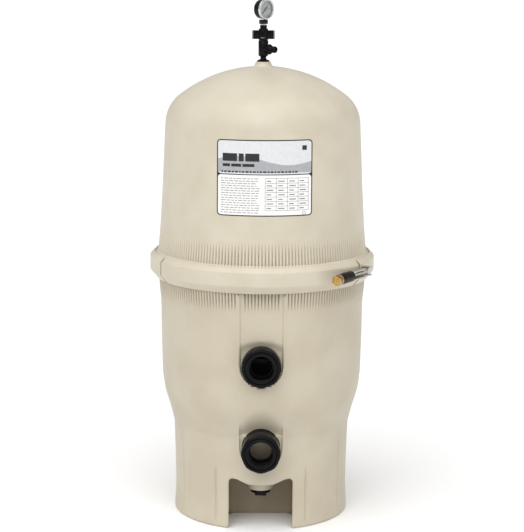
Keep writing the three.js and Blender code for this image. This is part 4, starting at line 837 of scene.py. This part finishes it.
drainPlace = Matrix.Translation((0, -base["drainReach"] * mm, base["bossBottom"] * mm))
plugFlange = turned([(0, -9.2), (24.3, -9.2), (25.5, -8.2), (25.5, -4.0), (24.7, -3.2), (19.6, -3.2),
                     (19.6, 20), (0, 20)], drainPlace, 72)
plug = {"headHalf": 14.5, "headBottom": -17.6, "headTop": -9.0, "headRound": 1.6}
plugHead = raised(squareOutline(plug["headHalf"], plug["headHalf"]), plug["headBottom"], plug["headTop"],
                  drainPlace)
plugHead = roundEdges(plugHead, plug["headRound"], 3)
makePiece("drainPlug", joined(plugFlange, plugHead), materials["black_plastic"], "drain_screw",
          ("drain_plug",))
print("drain plug made")


# relief valve, handle and nozzle

valve = {"nozzleAngle": 50.0, "nozzleHeight": 1195.4, "gaugeAngle": 44.0, "gaugeHeight": 1295.4}
valveBody = turned([(0, 1149), (7.4, 1149), (7.4, 1164.6), (15.2, 1164.6), (16, 1165.2), (16, 1166.8),
                    (15, 1167.6), (9.2, 1169.4), (7.9, 1170.8), (7.5, 1172.6), (7.5, 1175.4),
                    (8.3, 1176.9), (10.4, 1177.8), (11.9, 1178.8), (12.5, 1180.6), (12.5, 1216),
                    (11.6, 1217.3), (7, 1217.4), (7, 1252), (0, 1252)], steps=72)
makePiece("valveBody", valveBody, materials["black_plastic"], "root",
          ("relief_valve_body",))

hub = turned([(7.2, 1217.8), (10.6, 1217.8), (11.6, 1218.4), (12, 1219.6), (12, 1245.2), (11.4, 1246.3),
              (10.4, 1246.7), (7.2, 1246.7)], steps=64)
handle = {"half": 26.4, "thick": 4.5, "bottom": 1220.7, "top": 1242.7, "bore": 7.2, "round": 1.4,
          "tabInside": 25.2, "tabOutside": 29, "tabThick": 4.3, "tabBottom": 1221, "tabTop": 1242.4,
          "tabRound": 1.2}
wings = raised(squareOutline(handle["half"], handle["thick"]), handle["bottom"], handle["top"])
wings = roundEdges(wings, handle["round"], 3)
wingBore = raised(ringOutline(handle["bore"], 40), 1200, 1260)
wings = applyBoolean(wings, wingBore)
makePiece("valveHandle", joined(hub, wings), materials["black_plastic"], "valve_handle",
          ("relief_valve_handle",))
# grey blocks on the handle's ends, painted highlight on the black handle
highlightTabs = []
for side in (-1, 1):
    x0, x1 = sorted((side * handle["tabInside"], side * handle["tabOutside"]))
    thick = handle["tabThick"]
    tab = raised([(x0, -thick), (x1, -thick), (x1, thick), (x0, thick)],
                 handle["tabBottom"], handle["tabTop"])
    highlightTabs.append(roundEdges(tab, handle["tabRound"], 3))
# the small ridge on the hub's front, grey as a painted highlight
highlightTabs.append(roundEdges(raised([(-6.5, -12.6), (3, -12.6), (3, -11), (-6.5, -11)], 1223.4, 1225.0), 0.3))
makePiece("handleHighlightTabs", joined(*highlightTabs), handleHighlightGrey, "valve_handle")

nozzlePlace = outwardPlace(valve["nozzleAngle"], valve["nozzleHeight"])
nozzle = turned([(3, 9.5), (8.5, 9.5), (8.5, 16.4), (9.4, 17.6), (12.2, 18.2), (13, 19.2), (13, 21),
                 (12.2, 21.9), (9.2, 22.3), (8.5, 23.4), (8.5, 37.6), (7.9, 39.8), (6.6, 41.4),
                 (5.2, 42), (3.6, 42), (3, 41.2)], nozzlePlace, 48)
makePiece("reliefNozzle", nozzle, materials["black_plastic"], "root", ("relief_nozzle",))

adapter = raised(ringOutline(10, 6, 30), 1247.2, 1256.0)
adapter = roundEdges(adapter, 0.9, 3)
makePiece("gaugeAdapter", adapter, materials["black_plastic"], "root", ("gauge_adapter",))
tape = turned([(5.8, 1255.6), (7.0, 1255.9), (7.2, 1256.8), (7.0, 1257.6), (7.1, 1258.2), (5.8, 1258.4)],
              steps=40)
makePiece("threadTapeRing", tape, threadTape, "root")
print("valve made")


# gauge

gauge = {"stemHalf": 8.25, "stemBottom": 1258.5, "stemTop": 1269.3, "stemRound": 1.2, "zeroTurn": 225,
         "sweep": 270, "ticks": 30, "longEvery": 5, "longInner": 16.2, "shortInner": 17.8, "tickOuter": 20,
         "longWidth": 0.55, "shortWidth": 0.3, "printFrom": 4.5, "printTo": 4.62, "numbers": 6,
         "numberStep": 10, "numberSize": 4.2, "numberReach": 13, "numberLift": 4.6, "numberThickness": 0.06}
gaugePlace = outwardPlace(valve["gaugeAngle"], valve["gaugeHeight"])
stemBm = raised(squareOutline(gauge["stemHalf"], gauge["stemHalf"]), gauge["stemBottom"], gauge["stemTop"],
                Matrix.Rotation(math.radians(valve["gaugeAngle"]), 4, "Z"))
makePiece("gaugeStem", roundEdges(stemBm, gauge["stemRound"], 3), materials["dark_steel"], "root",
          ("gauge_stem",))
case = turned([(0, -12.5), (20.6, -12.5), (22.6, -11.8), (23.8, -10.2), (24.2, -8.4), (24.2, 6.2),
               (22.8, 6.2), (22.8, -10.8), (0, -10.8)], gaugePlace, 96)
makePiece("gaugeCase", case, materials["black_plastic"], "root", ("gauge_case",))
bezel = turned([(22.8, 6.8), (24.6, 6.8), (25.4, 7.2), (25.8, 8.2), (25.8, 11.0), (25.3, 12.1),
                (24.3, 12.5), (22.4, 12.5), (21.6, 12.1), (21.4, 11.5), (22.8, 11.5)], gaugePlace, 96)
makePiece("gaugeBezel", bezel, materials["chrome"], "root", ("gauge_bezel",))
dial = turned([(0, 3.7), (22.4, 3.7), (22.4, 4.5), (0, 4.5)], gaugePlace, 96)
makePiece("gaugeDial", dial, materials["white_plastic"], "root", ("gauge_dial",))

marks = []
for i in range(gauge["ticks"] + 1):
    turn = gauge["zeroTurn"] - gauge["sweep"] * i / gauge["ticks"]
    size = "long" if i % gauge["longEvery"] == 0 else "short"
    inner, outer, half = gauge[size + "Inner"], gauge["tickOuter"], gauge[size + "Width"] / 2
    marks.append(raised([(inner, -half), (outer, -half), (outer, half), (inner, half)],
                        gauge["printFrom"], gauge["printTo"],
                        gaugePlace @ Matrix.Rotation(math.radians(turn), 4, "Z")))
makePiece("dialTicks", joined(*marks), blackInk, "root")

digits = []
for i in range(gauge["numbers"] + 1):
    turn = math.radians(gauge["zeroTurn"] - gauge["sweep"] * i / gauge["numbers"])
    textData = bpy.data.curves.new("dialNumber", "FONT")
    textData.body = str(i * gauge["numberStep"])
    textData.size = gauge["numberSize"] * mm
    textData.align_x = "CENTER"
    textData.align_y = "CENTER"
    textData.extrude = gauge["numberThickness"] * mm
    textObject = bpy.data.objects.new("dialNumber", textData)
    bpy.context.scene.collection.objects.link(textObject)
    textNow = textObject.evaluated_get(bpy.context.evaluated_depsgraph_get())
    textMesh = bpy.data.meshes.new_from_object(textNow)
    part = bmesh.new()
    part.from_mesh(textMesh)
    reach = gauge["numberReach"] * mm
    part.transform(gaugePlace @ Matrix.Translation((reach * math.cos(turn), reach * math.sin(turn),
                                                    gauge["numberLift"] * mm)))
    digits.append(part)
    bpy.data.objects.remove(textObject)
    bpy.data.curves.remove(textData)
    bpy.data.meshes.remove(textMesh)
makePiece("dialNumbers", joined(*digits), blackInk, "root")

pointerTurn = gaugePlace @ Matrix.Rotation(math.radians(gauge["zeroTurn"]), 4, "Z")
needle = raised([(-8, -2.2), (0, -1.6), (19, -0.3), (19, 0.3), (0, 1.6), (-8, 2.2)], 5.7, 6.5, pointerTurn)
needleHub = turned([(0, 5.7), (3, 5.7), (3, 6.9), (2.5, 7.4), (0, 7.4)], gaugePlace, 32)
makePiece("gaugePointer", joined(needle, needleHub), blackInk, "gauge_needle",
          ("gauge_pointer",))
print("gauge made")


# the CAD pieces that stay

slotOf = {part["node"]: part["material_slot"] for part in frame["record"]["subparts"]}
for name, node in frame["nodes"].items():
    node.data.materials.clear()
    node.data.materials.append(materials[slotOf[name]])
print("kept pieces finished")
